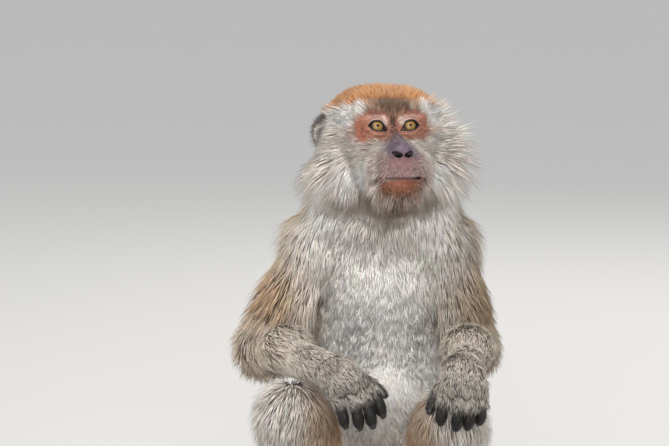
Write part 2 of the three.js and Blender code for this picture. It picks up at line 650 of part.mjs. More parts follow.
const finishes = {
  coat: { color: 0xa39a8c, roughness: 0.9 },
  belly: { color: 0xcfc8bf, roughness: 0.9 },
  skin: { color: 0x55504d, roughness: 0.7 },
  eye: { color: 0x8f7a2c, roughness: 0.1 },
};
function finishOf(name) {
  if (name.startsWith("eye_")) return finishes.eye;
  if (name === "torso") return finishes.belly;
  return /^hand|^foot|^ear|finger|thumb|toe/.test(name) ? finishes.skin : finishes.coat;
}

const monkey = new THREE.Group();
for (const [name, solid] of Object.entries(parts)) {
  const material = new THREE.MeshStandardMaterial({ ...finishOf(name), metalness: 0 });
  const mesh = new THREE.Mesh(geometryOf(solid), material);
  mesh.name = name;
  monkey.add(mesh);
}

export default monkey;
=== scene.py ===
"""A grown long-tailed macaque, life size, that sits upright with its forearms across its knees.

Its flesh is one skin, worked out from rounded muscles. Its coat is solid tufts that follow the lie of the
hair. Shapes are worked out in millimetres, and become metres as they are put in a mesh.
"""

import bpy
import numpy as np
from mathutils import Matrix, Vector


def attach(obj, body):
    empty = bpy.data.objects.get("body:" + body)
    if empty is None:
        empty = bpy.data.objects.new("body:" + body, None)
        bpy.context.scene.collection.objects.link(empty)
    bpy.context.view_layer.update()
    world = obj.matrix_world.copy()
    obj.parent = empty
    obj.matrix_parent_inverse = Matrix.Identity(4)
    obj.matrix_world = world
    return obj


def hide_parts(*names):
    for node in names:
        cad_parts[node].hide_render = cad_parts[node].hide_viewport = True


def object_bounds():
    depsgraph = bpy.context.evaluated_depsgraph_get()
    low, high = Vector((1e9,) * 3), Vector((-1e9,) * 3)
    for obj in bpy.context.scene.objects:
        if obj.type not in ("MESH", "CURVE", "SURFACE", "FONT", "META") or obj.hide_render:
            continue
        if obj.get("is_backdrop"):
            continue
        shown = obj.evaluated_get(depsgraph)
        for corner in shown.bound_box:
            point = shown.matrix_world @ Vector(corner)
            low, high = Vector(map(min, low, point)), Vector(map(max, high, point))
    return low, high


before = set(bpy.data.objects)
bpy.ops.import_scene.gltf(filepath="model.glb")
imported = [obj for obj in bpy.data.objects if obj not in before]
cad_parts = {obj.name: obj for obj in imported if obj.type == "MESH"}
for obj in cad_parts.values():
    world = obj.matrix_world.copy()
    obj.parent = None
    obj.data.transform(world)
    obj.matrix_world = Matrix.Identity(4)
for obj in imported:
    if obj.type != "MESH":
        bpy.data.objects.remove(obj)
solid_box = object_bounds()

# ---------------------------------------------------------------- view, light and floor
# The animal is seen from two metres, straight ahead of its body, by a long lens a little above its chest.
# Soft light falls from above and from ahead. A weaker one from behind brings out the tips of the coat.
MM = 0.001
AIM = np.array((-40.4, 0.0, 299.0)) * MM
VIEW_DISTANCE = 2.0
LOOK_DOWN = np.radians(8)
PIXEL_AT_AIM = 0.85 * MM
FRAME_WIDTH_PX = 669
SENSOR = 36.0


def placed(name, data):
    """An object made of its data, in the scene."""
    made = bpy.data.objects.new(name, data)
    bpy.context.collection.objects.link(made)
    return made


def new_material(name, values):
    """A material, and its Principled shader with these values on its sockets."""
    material = bpy.data.materials.new(name)
    material.use_nodes = True
    shader = material.node_tree.nodes["Principled BSDF"]
    for socket, value in values.items():
        shader.inputs[socket].default_value = value
    return material, shader


camera = placed("camera", bpy.data.cameras.new("camera"))
camera.data.sensor_width = SENSOR
camera.data.lens = SENSOR * VIEW_DISTANCE / (PIXEL_AT_AIM * FRAME_WIDTH_PX)
camera.location = AIM + VIEW_DISTANCE * np.array((0, -np.cos(LOOK_DOWN), np.sin(LOOK_DOWN)))
camera.rotation_euler = (np.pi / 2 - LOOK_DOWN, 0, 0)
bpy.context.scene.camera = camera

LAMPS = {  # place in metres, size in metres, power in watts, colour
    "sky": ((-0.35, -0.9, 2.1), 1.7, 25, (1.0, 0.985, 0.96)),
    "front": ((-0.1, -2.25, 0.9), 1.4, 34, (1.0, 0.98, 0.95)),
    "rim": ((0.5, 1.5, 1.5), 1.1, 15, (1.0, 0.97, 0.92)),
}
LAMPS_AIM = np.array((0, 0, 0.28))
for name, (place, size, power, colour) in LAMPS.items():
    lamp = placed(name, bpy.data.lights.new(name, "AREA"))
    lamp.data.shape = "DISK"
    lamp.data.size = size
    lamp.data.energy = power
    lamp.data.color = colour
    lamp.location = place
    toward = LAMPS_AIM - place
    tilt = np.arctan2(np.hypot(*toward[:2]), -toward[2])
    lamp.rotation_euler = (tilt, 0, np.arctan2(-toward[0], toward[1]))

world = bpy.data.worlds.new("studio")
world.use_nodes = True
sky = world.node_tree.nodes["Background"]
sky.inputs["Color"].default_value = (0.86, 0.88, 0.9, 1)
sky.inputs["Strength"].default_value = 1.05
bpy.context.scene.world = world
bpy.context.scene.view_settings.view_transform = "Standard"

FLOOR_HALF = 90
floor_corners = [(FLOOR_HALF * x, FLOOR_HALF * y, 0) for x, y in ((-1, -1), (1, -1), (1, 1), (-1, 1))]
floor_mesh = bpy.data.meshes.new("floor")
floor_mesh.from_pydata(floor_corners, [], [(0, 1, 2, 3)])
floor_material, _ = new_material("pale_floor", {"Base Color": (0.5, 0.49, 0.475, 1), "Roughness": 0.9})
floor_mesh.materials.append(floor_material)
floor = placed("floor", floor_mesh)
floor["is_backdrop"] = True

# ---------------------------------------------------------------- flesh of the trunk, neck and limbs
# Rounded muscles and bones melt into one another, as they do under a living skin: a rounded cone for each
# long bone and an egg for each mass. Each is a distance, below 0 inside, for a whole array of points.


def smooth_union(soft, first, *others):
    """The lowest of several distances, melted together over `soft` mm by a parabola where two are near."""
    low = first
    for other in others:
        near = np.clip(1 - np.abs(low - other) / soft, 0, None)
        low = np.minimum(low, other) - near * near * soft / 4
    return low


def smooth_cut(soft, solid, hole):
    """A solid less a hole, with the edge between them rounded over `soft` mm."""
    return -smooth_union(soft, -solid, hole)


def bone(p, a, b, ra, rb):
    """Distance to the axis from a to b, less a radius that goes evenly from ra to rb."""
    a, axis = np.array(a, float), np.subtract(b, a)
    t = np.clip((p - a) @ axis / (axis @ axis), 0, 1)
    return np.linalg.norm(p - a - t[:, None] * axis, axis=1) - (ra + (rb - ra) * t)


def egg(p, centre, half):
    """Near distance to an ellipsoid: how far out it is in its own half-sizes, times the local half-size."""
    q = (p - np.array(centre, float)) / half
    out = np.linalg.norm(q, axis=1)
    return out * (out - 1) / np.maximum(np.linalg.norm(q / half, axis=1), 1e-9)


FLATS = dict(rump=0.6, soles=0.5, toes=0.4, tufts=0.3)  # how far above the ground each is pressed flat
RIGHT, LEFT = "right", "left"
SIDES = {RIGHT: -1, LEFT: 1}
JOINTS = {
    RIGHT: dict(
        shoulder=(-54, -8, 282), elbow=(-99, -38, 201), wrist=(-40, -124, 195), knuckles=(-27, -148, 187),
        hip=(-38, 4, 60), knee=(-75, -98, 154), ankle=(-68, -84, 28), toes=(-82, -152, 28),
    ),
    LEFT: dict(
        shoulder=(51, -4, 282), elbow=(74, -38, 201), wrist=(61.5, -146, 200), knuckles=(62, -170, 191),
        hip=(38, 4, 60), knee=(53, -104, 149), ankle=(50, -88, 28), toes=(60, -158, 28),
    ),
}
for joints in JOINTS.values():
    joints.update({name: np.array(at, float) for name, at in joints.items()})


def between(a, b, share):
    return a + (b - a) * share


def neck(p):
    nape = bone(p, (0, -4, 288), (-2, -36, 344), 38, 35)
    return smooth_union(12, nape, egg(p, (-1, -14, 316), (53, 34, 38)))


def trunk(p):
    return smooth_union(
        18,
        egg(p, (0, 20, 58), (60, 54, 54)),  # rump
        egg(p, (0, 22, 122), (50, 48, 62)),  # loin
        egg(p, (-3, -26, 108), (56, 50, 64)),  # belly
        egg(p, (0, 11, 182), (58, 50, 74)),  # waist
        egg(p, (0, 2, 240), (52, 51, 58)),  # ribs
        bone(p, (-40, -2, 276), (40, 2, 276), 27, 27),  # shoulder girdle
        egg(p, (0, 22, 270), (38, 32, 44)),  # withers
        bone(p, (-26, -2, 310), (-50, -6, 286), 24, 24),  # slope of the shoulders
        bone(p, (26, -2, 310), (48, -4, 286), 24, 24),
        neck(p),
    )


def arm(p, shoulder, elbow, wrist, **_):
    return smooth_union(
        12,
        bone(p, shoulder, elbow, 20, 16),
        bone(p, elbow, wrist, 15.5, 12),
        egg(p, between(elbow, wrist, 0.3) + (0, 0, 6), (17, 17, 14)),  # muscle below the elbow
        egg(p, elbow + (0, 4, -7), (13, 14, 14)),  # point of the elbow
    )


def leg(p, hip, knee, ankle, **_):
    return smooth_union(
        12,
        bone(p, hip, knee, 38, 24),
        bone(p, knee, ankle, 21, 10),
        egg(p, between(knee, ankle, 0.36) + (0, 10, 0), (25, 24, 40)),  # calf
    )


def trunk_and_limbs(p):
    limbs = [part(p, **JOINTS[side]) for side in SIDES for part in (arm, leg)]
    return np.maximum(smooth_union(10, trunk(p), *limbs), FLATS["rump"] - p[:, 2])


def slope_of(field, p):
    """A distance at each place, and how fast it grows there along X, Y and Z."""
    nudge = 0.05
    here = field(p)
    return here, np.stack([field(p + nudge * axis) - here for axis in np.eye(3)], axis=1) / nudge


TAKEN_IN = 0.02


def fill_pinches(value):
    """Where only opposite corners of a grid square are inside, the surface would touch itself along an edge.
    The outside corner that is nearest to the surface is taken in, until no such square is left."""
    for _ in range(6):
        found = 0
        for axis in range(3):
            u, w = (axis + 1) % 3, (axis + 2) % 3
            du, dw = np.eye(3, dtype=int)[[u, w]]
            steps = np.array([du * a + dw * b for a in (0, 1) for b in (0, 1)])
            corners = []
            for a, b in ((0, 0), (1, 0), (1, 1), (0, 1)):
                part = [slice(None)] * 3
                part[u], part[w] = slice(a, value.shape[u] - 1 + a), slice(b, value.shape[w] - 1 + b)
                corners.append(value[tuple(part)] < 0)
            opposite_alike = (corners[0] == corners[2]) & (corners[1] == corners[3])
            pinched = np.argwhere(opposite_alike & (corners[0] != corners[1]))
            square = pinched[:, None] + steps
            values = value[tuple(np.moveaxis(square, -1, 0))]
            nearest = np.where(values < 0, np.inf, values).argmin(1)
            taken = square[np.arange(len(square)), nearest]
            value[tuple(taken.T)] = -TAKEN_IN
            found += len(pinched)
        if not found:
            return


def closed_surface(field, axes):
    """The surface where a distance is 0: a vertex in each cell of the grid that it crosses, and a quad round
    each crossed edge of the grid. A vertex starts at the middle of the crossings of its cell's edges, and is
    then pulled twice onto the surface along the slope."""
    n = [len(places) for places in axes]
    grid = np.stack(np.meshgrid(*axes, indexing="ij"), axis=-1)
    value = field(grid.reshape(-1, 3)).reshape(n)
    fill_pinches(value)
    cells = tuple(count - 1 for count in n)
    total = np.zeros(cells + (3,))
    crossings = np.zeros(cells)
    for axis in range(3):
        for a, b in np.ndindex(2, 2):
            start = [slice(0, -1)] * 3
            others = [k for k in range(3) if k != axis]
            start[others[0]] = slice(a, n[others[0]] - 1 + a)
            start[others[1]] = slice(b, n[others[1]] - 1 + b)
            end = list(start)
            end[axis] = slice(1, None)
            v0, v1 = value[tuple(start)], value[tuple(end)]
            crossed = (v0 < 0) != (v1 < 0)
            share = np.where(crossed, v0 / np.where(crossed, v0 - v1, 1), 0)[..., None]
            place = grid[tuple(start)] * (1 - share) + grid[tuple(end)] * share
            total += place * crossed[..., None]
            crossings += crossed
    used = crossings > 0
    vertex_of = np.full(cells, -1)
    vertex_of[used] = np.arange(used.sum())
    p = total[used] / crossings[used][:, None]
    for _ in range(2):
        here, slope = slope_of(field, p)
        step = here / np.maximum((slope**2).sum(1), 0.3)
        p = p - np.clip(step, -1.5, 1.5)[:, None] * slope

    quads = []
    inside = value < 0
    for axis in range(3):
        u, w = (axis + 1) % 3, (axis + 2) % 3
        ahead = [slice(None)] * 3
        ahead[axis] = slice(1, None)
        here = [slice(None)] * 3
        here[axis] = slice(0, -1)
        crossed = np.argwhere(inside[tuple(here)] != inside[tuple(ahead)])
        crossed = crossed[(crossed[:, u] > 0) & (crossed[:, w] > 0)]
        crossed = crossed[(crossed[:, u] < n[u] - 1) & (crossed[:, w] < n[w] - 1)]
        du, dw = np.eye(3, dtype=int)[[u, w]]
        ring = [crossed - du - dw, crossed - dw, crossed, crossed - du]
        quad = np.stack([vertex_of[tuple(c.T)] for c in ring], axis=1)
        out = inside[tuple(crossed.T)]
        quads.append(np.where(out[:, None], quad, quad[:, ::-1]))
    return p, np.concatenate(quads).tolist()


def even_axis(low, high, step, *fine):
    """Places from low to high, `step` apart, or closer in zones that are each (from, to, step)."""
    places = [low]
    while places[-1] < high:
        zones = [closer for start, end, closer in fine if start <= places[-1] < end]
        places.append(places[-1] + (zones[0] if zones else step))
    return np.array(places)


def mesh_object(name, places_mm, faces):
    mesh = bpy.data.meshes.new(name)
    mesh.from_pydata(places_mm * MM, [], faces)
    mesh.update()
    return placed(name, mesh)


FLESH_STEP = 3.9
TRUNK_BOX = ((-132, 112), (-172, 88), (-6, 392))
trunk_axes = [even_axis(low, high, FLESH_STEP) for low, high in TRUNK_BOX]
flesh = [mesh_object("skin", *closed_surface(trunk_and_limbs, trunk_axes))]

# ---------------------------------------------------------------- flesh of the head and ears
# A long low brain case, a brow ridge that overhangs the eyes, and a broad blunt muzzle. The eyes lie in
# sockets, each behind two lids. The nostrils are close together, above a straight wide mouth.
HEAD_AT = np.array((-0.2, -48.6, 374.4))
HEAD_YAW, HEAD_PITCH = np.radians((10.5, 10))
EYE_AT = np.array((13.5, -36.5, 7.5))  # the left eye, in the head's own frame
EYE_RADIUS = 9.4
EYE_CLEAR = 0.25
MOUTH = dict(radius=21, half_turn=np.radians(66), aside=2.0, y=-56, z=-36)  # half a circle round y
LIDS = dict(half_width=7.2, upper=4.5, lower=3.7, corner=3.4, raised=0.9, slant=0.1)
EAR_AT = np.array((45, 20, 10))


def turned(axis, angle):
    """The matrix of a turn round X, Y or Z."""
    c, s = np.cos(angle), np.sin(angle)
    u, w = [k for k in range(3) if k != axis]
    turn = np.eye(3)
    turn[u, u] = turn[w, w] = c
    turn[u, w], turn[w, u] = (s, -s) if axis == 1 else (-s, s)
    return turn


HEAD_TURN = turned(2, HEAD_YAW) @ turned(0, -HEAD_PITCH)


def to_head(p):
    return (p - HEAD_AT) @ HEAD_TURN


def from_head(q):
    return q @ HEAD_TURN.T + HEAD_AT


def lip(q, drop, radius, inset):
    """Distance to a round bar along half a circle in front of the muzzle, a little higher at its corners and
    held a little to one side."""
    q = q + (MOUTH["aside"], 0, 0)
    turn = np.arctan2(q[:, 0], -(q[:, 1] - MOUTH["y"]))
    turn = np.clip(turn, -MOUTH["half_turn"], MOUTH["half_turn"])
    wide = MOUTH["radius"] - inset
    up = MOUTH["z"] - drop + 2 * np.sin(turn) ** 2
    line = np.stack([wide * np.sin(turn), MOUTH["y"] - wide * np.cos(turn), up], axis=1)
    return np.linalg.norm(q - line, axis=1) - radius * (0.35 + 0.65 * np.cos(turn * 1.35))


def inner_corner(across):
    """How far the lids are drawn down toward the nose: a power of how far past `corner` it is."""
    return np.clip(-across - LIDS["corner"], 0, None) ** 1.3 * 0.35


def lid_opening(m):
    """How far a point is outside the almond between the lids, seen from ahead."""
    across = m[:, 0] - EYE_AT[0]
    up = m[:, 2] - EYE_AT[2] - LIDS["raised"] - LIDS["slant"] * across
    span = np.clip(1 - (across / LIDS["half_width"]) ** 2, 0, None)
    upper = LIDS["upper"] * span**0.65 - inner_corner(across)
    lower = -LIDS["lower"] * span**0.75 - inner_corner(across)
    return np.maximum(np.maximum(up - upper, lower - up), np.abs(across) - LIDS["half_width"])


def folded_over(q):
    """Places of the head with its right half laid over its left, because both are alike."""
    return np.column_stack([np.abs(q[:, 0]), q[:, 1:]])


def head(q):
    m = folded_over(q)
    skull = smooth_union(
        7,
        egg(m, (0, 10, 6), (39, 46, 38.5)),  # brain case
        egg(m, (17.5, 2, 18), (25, 34, 23)),  # and its flat broad top
        bone(m, (0, -34.5, 18.5), (19, -34, 17.5), 8, 7.5),  # brow ridge
        bone(m, (19, -34, 17.5), (31, -22, 6), 7, 6),  # and its end, down to the cheekbone
        egg(m, (0, -20, -2), (33, 24, 26)),  # cheekbones
        bone(m, (0, -26, -20), (0, -55, -26), 25, 19),  # root of the muzzle
        bone(m, (0, -59.5, -27), (6.5, -59.5, -27), 16.5, 16.5),  # its broad front
        bone(m, (0, -10, -36), (0, -52, -42), 22, 14),  # jaw
        bone(m, (0, -42, 2), (0, -74, -13), 5, 6.2),  # ridge of the nose
        egg(m, (28, 5, -17), (24, 29, 32)),  # muscle of the jaw
        bone(m, (34, 20, 6), (43, 26, 8), 8, 6),  # root of the ear
    )
    skull = smooth_cut(6, skull, egg(m, EYE_AT + (1, -13, -0.5), (12.5, 11, 9)))  # socket
    lids = egg(m, EYE_AT, (EYE_RADIUS + 1.9, EYE_RADIUS + 1.6, EYE_RADIUS + 1.7))
    skull = smooth_union(2.5, skull, lids)
    crease = np.abs(egg(m, EYE_AT + (0, 0, -0.3), (12.6, 13, 8.6)))  # a fold over the upper lid
    skull = skull + 0.45 * np.exp(-((crease / 0.8) ** 2)) * np.clip((m[:, 2] - 4) / 4, 0, 1)
    wings = bone(m, (6, -73.5, -18), (3.5, -75.5, -14), 3.4, 3)
    skull = smooth_union(3, skull, wings, lip(q, -2.4, 3.2, 2.6), lip(q, 5.4, 5.6, 5.2))
    skull = smooth_cut(1.4, skull, lip(q, 0.2, 1.2, -0.4))  # line of the mouth
    groove = bone(m, (0, -82, -20), (0, -81, -31), 1.4, 1.2)
    skull = smooth_cut(2.5, skull, groove)  # from the nose to the upper lip
    around = m - np.array((4.0, -79.6, -16.8))
    turn = turned(1, np.radians(-28)) @ turned(2, np.radians(-22))
    skull = smooth_cut(0.8, skull, egg(around @ turn, (0, 0, 0), (3.5, 10, 2.2)))  # nostrils
    skull = smooth_cut(0.5, skull, np.linalg.norm(m - EYE_AT, axis=1) - EYE_RADIUS - EYE_CLEAR)
    ahead_of_eye = np.where(m[:, 1] < EYE_AT[1] - 2, lid_opening(m), 9.0)
    return smooth_cut(0.7, skull, ahead_of_eye)


def head_and_throat(p):
    q = to_head(p)
    sunk = 3 * np.clip((-52 - q[:, 2]) / 16, 0, 1)
    throat = np.maximum(neck(p) + sunk, np.linalg.norm(q - (0, 18, -35), axis=1) - 48)
    return smooth_union(14, head(q), throat)


head_axes = [
    even_axis(-66, 66, 2.4, (-29, 29, 0.75)),
    even_axis(-92, 76, 2.4, (-92, -54, 0.9), (-54, -30, 0.7)),
    even_axis(-90, 48, 2.4, (-54, -4, 0.9), (-4, 20, 0.6)),
]
head_places, head_faces = closed_surface(lambda q: head_and_throat(from_head(q)), head_axes)
flesh.append(mesh_object("head_flesh", from_head(head_places), head_faces))

EAR = dict(wide=12.0, high=16.5, bowl=6.0, thick=2.2, rings=14, sides=36)
EAR_RIDGES = (  # how high, at what share of the radius, how wide, how high all round, its swing and its turn
    (1.7, 0.93, 0.07, 0.5, 0.8, 0.9),  # rolled rim
    (2.4, 0.62, 0.1, 0.0, 1.0, 0.5),  # fold within it
    (3.0, 0.45, 0.18, -0.2, 1.0, np.pi),  # flap ahead of the opening
)


def ear(side):
    """A bowl: oval rings go out over its front to the rim, and back in over its back. Each ridge on its
    front is a bell curve across the rings, and a cosine round them."""
    s = SIDES[side]
    turn = np.linspace(0, 2 * np.pi, EAR["sides"], endpoint=False)
    out = np.linspace(0.03, 1, EAR["rings"])
    r, a = np.meshgrid(np.concatenate([out, out[::-1]]), turn, indexing="ij")
    front = np.arange(2 * EAR["rings"])[:, None] < EAR["rings"]
    x = r * EAR["wide"] * np.cos(a) * (1 + 0.12 * np.sin(a))
    z = r * EAR["high"] * np.sin(a) * (1 - 0.08 * np.cos(a))
    bowl = EAR["bowl"] * (1 - r**2.2)
    inner = bowl
    for height, at, wide, all_round, swing, facing in EAR_RIDGES:
        round_it = np.clip(all_round + swing * np.cos(a - facing), 0, 1)
        inner = inner - height * np.exp(-(((r - at) / wide) ** 2)) * round_it
    y = np.where(front, inner, bowl + EAR["thick"] * np.sqrt(np.clip(1 - r**6, 0, 1)))
    local = np.stack([x * s, y, z], axis=-1).reshape(-1, 3)
    place = turned(2, np.radians(38 * s)) @ turned(0, np.radians(-14))
    places = from_head(local @ place.T + EAR_AT * (s, 1, 1))
    count, sides = 2 * EAR["rings"], EAR["sides"]
    index = np.arange(count * sides).reshape(count, sides)
    beside = np.roll(index, -1, axis=1)
    quads = np.stack([index[:-1], beside[:-1], beside[1:], index[1:]], axis=-1).reshape(-1, 4)
    faces = quads.tolist() + [index[0][::-1].tolist(), index[-1].tolist()]
    if s > 0:
        faces = [face[::-1] for face in faces]
    return places, faces


flesh += [mesh_object("ear_flesh", *ear(side)) for side in SIDES]

# ---------------------------------------------------------------- flesh of the hands, feet and tail
# Long narrow hands and feet, with knuckled digits that the animal lets hang or lays flat. The tail is as
# long as the body: it drops from the rump and lies on the ground in one wide curve.


def own_frame(start, end, thumb_way, sign):
    """A hand's or foot's own axes: towards the thumb or big toe, towards the digits, and out of its back."""
    y = (end - start) / np.linalg.norm(end - start)
    x = thumb_way - (thumb_way @ y) * y
    x = x / np.linalg.norm(x)
    z = np.cross(y, x) if sign < 0 else np.cross(x, y)
    return np.array((x, y, z))


DIGITS = {
    ("hand", RIGHT): {
        "index": dict(root=(13.2, 24, 0), splay=4, curl=(17, 28, 30), length=34, radius=5.0),
        "middle": dict(root=(4.4, 25.5, 0), splay=1, curl=(22, 32, 32), length=38, radius=5.1),
        "ring": dict(root=(-4.4, 25, 0), splay=-1, curl=(25, 34, 32), length=36, radius=5.0),
        "little": dict(root=(-13.2, 22, -1), splay=-5, curl=(26, 32, 30), length=31, radius=4.6),
        "thumb": dict(root=(14.5, 12, -4), splay=24, curl=(12, 12, 10), length=27, radius=4.7),
    },
    ("hand", LEFT): {
        "index": dict(root=(13.2, 24, 0), splay=16, curl=(32, 40, 36), length=32, radius=5.0),
        "middle": dict(root=(4.4, 25.5, 0), splay=1, curl=(34, 42, 40), length=36, radius=5.0),
        "ring": dict(root=(-4.4, 25, 0), splay=-1, curl=(36, 42, 40), length=35, radius=5.0),
        "little": dict(root=(-13.2, 22, -1), splay=-4, curl=(36, 40, 38), length=30, radius=4.6),
        "thumb": dict(root=(15, 10, -5), splay=30, curl=(26, 14, 10), length=27, radius=4.7),
    },
}
TOES = {
    "second": dict(root=(12.4, 49, -23.7), splay=4, curl=(-4, 6, 6), length=36, radius=4.2),
    "third": dict(root=(3.1, 52, -23.7), splay=1, curl=(-4, 6, 6), length=39, radius=4.3),
    "fourth": dict(root=(-6.2, 52, -23.7), splay=-2, curl=(-4, 6, 6), length=37, radius=4.2),
    "fifth": dict(root=(-15.2, 49, -23.7), splay=-7, curl=(-4, 6, 6), length=31, radius=4.0),
    "big": dict(root=(17, 33, -22.8), splay=36, curl=(-4, 6, 6), length=35, radius=5.0),
}
DIGITS[("foot", RIGHT)] = DIGITS[("foot", LEFT)] = TOES
BONE_SHARES = (0.46, 0.31, 0.23)
FRAMES = {}
for side, s in SIDES.items():
    joints = JOINTS[side]
    thumb_way = np.array((1, 0.1, 0.15)) if side == RIGHT else np.array((-1, 0, 0.1))
    FRAMES["hand", side] = (joints["wrist"], own_frame(joints["wrist"], joints["knuckles"], thumb_way, s))
    toe_way = np.array((-s, 0, 0))
    FRAMES["foot", side] = (joints["ankle"], own_frame(joints["ankle"], joints["toes"], toe_way, s))


def palm(p, side):
    origin, turn = FRAMES["hand", side]
    q = (p - origin) @ turn.T
    elbow, wrist = JOINTS[side]["elbow"], JOINTS[side]["wrist"]
    tendons = [bone(q, (x, 6, 3.5), (x * 1.35, 26, 3), 4.4, 3.6) for x in (-8.5, -3, 3, 8.5)]
    return smooth_union(
        6,
        bone(p, between(elbow, wrist, 0.72), wrist, 9.5, 11.5),  # inside the end of the forearm
        bone(q, (7, -4, 0), (11, 27, 0), 8.5, 6),
        bone(q, (-7, -4, 0), (-11, 25, -1), 8.5, 5.6),
        bone(q, (0, -4, 1), (0, 28, 0.5), 9, 6),
        bone(q, (9, 2, -4), (14.5, 14, -5), 6.5, 5),  # ball of the thumb
        *tendons,
    )


def sole(p, side):
    origin, turn = FRAMES["foot", side]
    q = (p - origin) @ turn.T
    knee, ankle = JOINTS[side]["knee"], JOINTS[side]["ankle"]
    foot = smooth_union(
        8,
        bone(p, between(knee, ankle, 0.75), ankle, 9.5, 10.5),  # inside the end of the shin
        bone(q, (0, 0, 0), (0, -6, -12), 10.5, 10),  # ankle
        bone(q, (0, -12, -15), (1, 20, -16), 11, 10),  # heel and instep
        bone(q, (0, 10, -12), (-2, 56, -19), 11, 7.5),
        bone(q, (12, 48, -20), (-14, 51, -20.5), 6.5, 5.8),  # ball of the foot
        bone(q, (6, 22, -18), (17, 38, -20), 7.5, 6),  # root of the big toe
    )
    return np.maximum(foot, FLATS["soles"] - p[:, 2])


def ring_quads(index):
    """The quads between closed rings, from the numbers of their vertices in rows."""
    beside = np.roll(index, -1, axis=1)
    return np.stack([index[:-1], index[1:], beside[1:], beside[:-1]], axis=-1).reshape(-1, 4)


def tube(centres, radii, normals, sides):
    """Rings round a path, closed by a fan at each end. `normals` is a way across the path at each ring."""
    along = np.gradient(centres, axis=0)
    along = along / np.linalg.norm(along, axis=1)[:, None]
    up = normals - (normals * along).sum(1)[:, None] * along
    up = up / np.linalg.norm(up, axis=1)[:, None]
    across = np.cross(along, up)
    a = np.linspace(0, 2 * np.pi, sides, endpoint=False)
    ring = np.cos(a)[None, :, None] * across[:, None] + np.sin(a)[None, :, None] * up[:, None]
    places = centres[:, None] + ring * radii[:, :, None]
    index = np.arange(len(centres) * sides).reshape(-1, sides)
    faces = ring_quads(index).tolist() + [index[0].tolist(), index[-1][::-1].tolist()]
    return places.reshape(-1, 3), faces


def digit_path(turn, origin, root, splay, curl, length, **_):
    """The joints of a digit: three bones, each bent by its `curl` in degrees from the last, to the palm."""
    level = turn[1] * np.cos(np.radians(splay)) + turn[0] * np.sin(np.radians(splay))
    bent = np.radians(np.cumsum(curl))[:, None]
    ways = level * np.cos(bent) - turn[2] * np.sin(bent)
    steps = ways * length * np.array(BONE_SHARES)[:, None]
    return origin + np.array(root) @ turn + np.vstack([np.zeros(3), np.cumsum(steps, axis=0)]), ways


def rounded_path(corners, count):
    """A curve that rounds off the bends of a path: its points, blurred along it, from end to end."""
    lengths = np.concatenate([[0], np.cumsum(np.linalg.norm(np.diff(corners, axis=0), axis=1))])
    at = np.linspace(0, lengths[-1], count)
    blur = np.array([-0.07, -0.035, 0, 0.035, 0.07]) * lengths[-1]
    spots = np.clip(at[:, None] + blur, 0, lengths[-1])
    return np.stack([np.interp(spots, lengths, corners[:, k]).mean(1) for k in range(3)], axis=1)


DIGIT_RINGS, DIGIT_SIDES = 30, 16
DIGIT_LINES = {}  # the middle of each digit, from root to tip, and its radius
DIGIT_BACKS = {}  # where each nail goes: the digit's last joint, its tip, its way, its back and its radius


def add_digit(key, name, sizes):
    """A tube along a digit, a little thicker at its two knuckles, with a pad under its tip and fine wrinkles
    over its back. Its end is rounded off like a ball."""
    origin, turn = FRAMES[key]
    corners, ways = digit_path(turn, origin, **sizes)
    bent = np.radians(sum(sizes["curl"]))
    back = turn[2] * np.cos(bent) + turn[1] * np.sin(bent)
    start = corners[0] - 7 * ways[0]
    corners = np.vstack([start, corners, corners[-1] + ways[-1] * sizes["radius"] * 0.5])
    centres = rounded_path(corners, DIGIT_RINGS)
    s = np.linspace(0, 1, DIGIT_RINGS)
    r = sizes["radius"]
    knuckles = 0.09 * np.exp(-(((s - 0.52) / 0.06) ** 2)) + 0.08 * np.exp(-(((s - 0.78) / 0.05) ** 2))
    taper = (1.0 - 0.13 * s + knuckles) * np.sqrt(np.clip(1 - np.clip((s - 0.86) / 0.145, 0, 1) ** 2, 0, 1))
    a = np.linspace(0, 2 * np.pi, DIGIT_SIDES, endpoint=False)
    pads = 0.16 * np.exp(-(((s - 0.9) / 0.07) ** 2))[:, None] * np.clip(-np.sin(a), 0, 1)
    wrinkles = 0.02 * np.sin(s * 150)[:, None] * np.clip(np.sin(a), 0, 1)
    radii = r * np.maximum(taper[:, None] * (1 + pads + wrinkles), 0.04)
    bends = np.interp(s, np.linspace(0, 1, 3), np.radians(np.cumsum(sizes["curl"])))[:, None]
    places, faces = tube(centres, radii, turn[2] * np.cos(bends) + turn[1] * np.sin(bends), DIGIT_SIDES)
    if key[0] == "foot":
        places[:, 2] = np.maximum(places[:, 2], FLATS["toes"])
    flesh.append(mesh_object(name, places, faces))
    DIGIT_LINES[key + (name,)] = (centres, r)
    DIGIT_BACKS[key + (name,)] = (corners[-2], ways[-1], back, r * 0.8)


for (limb, side), digits in DIGITS.items():
    origin, turn = FRAMES[limb, side]
    field = palm if limb == "hand" else sole
    ends = [origin - 30 * turn[1] + (0, 0, 26), origin + 62 * turn[1], origin + (0, 0, -30)]
    low, high = np.min(ends, axis=0) - 24, np.max(ends, axis=0) + 24
    axes = [even_axis(a, b, 1.6) for a, b in zip(low, high)]
    flesh.append(mesh_object(f"{limb}_flesh", *closed_surface(lambda p: field(p, side), axes)))
    for name, sizes in digits.items():
        add_digit((limb, side), name, sizes)

TAIL_ROUTE = np.array([
    (1, 48, 55), (2, 62, 50), (5, 92, 27), (13, 122, 12), (32, 164, 10.6), (68, 196, 9.8), (118, 206, 8.8),
    (162, 184, 7.8), (184, 140, 6.6), (182, 92, 5.4), (160, 52, 4.2),
], float)
TAIL = dict(root=8.0, tip=2.4, rings=90, sides=12)


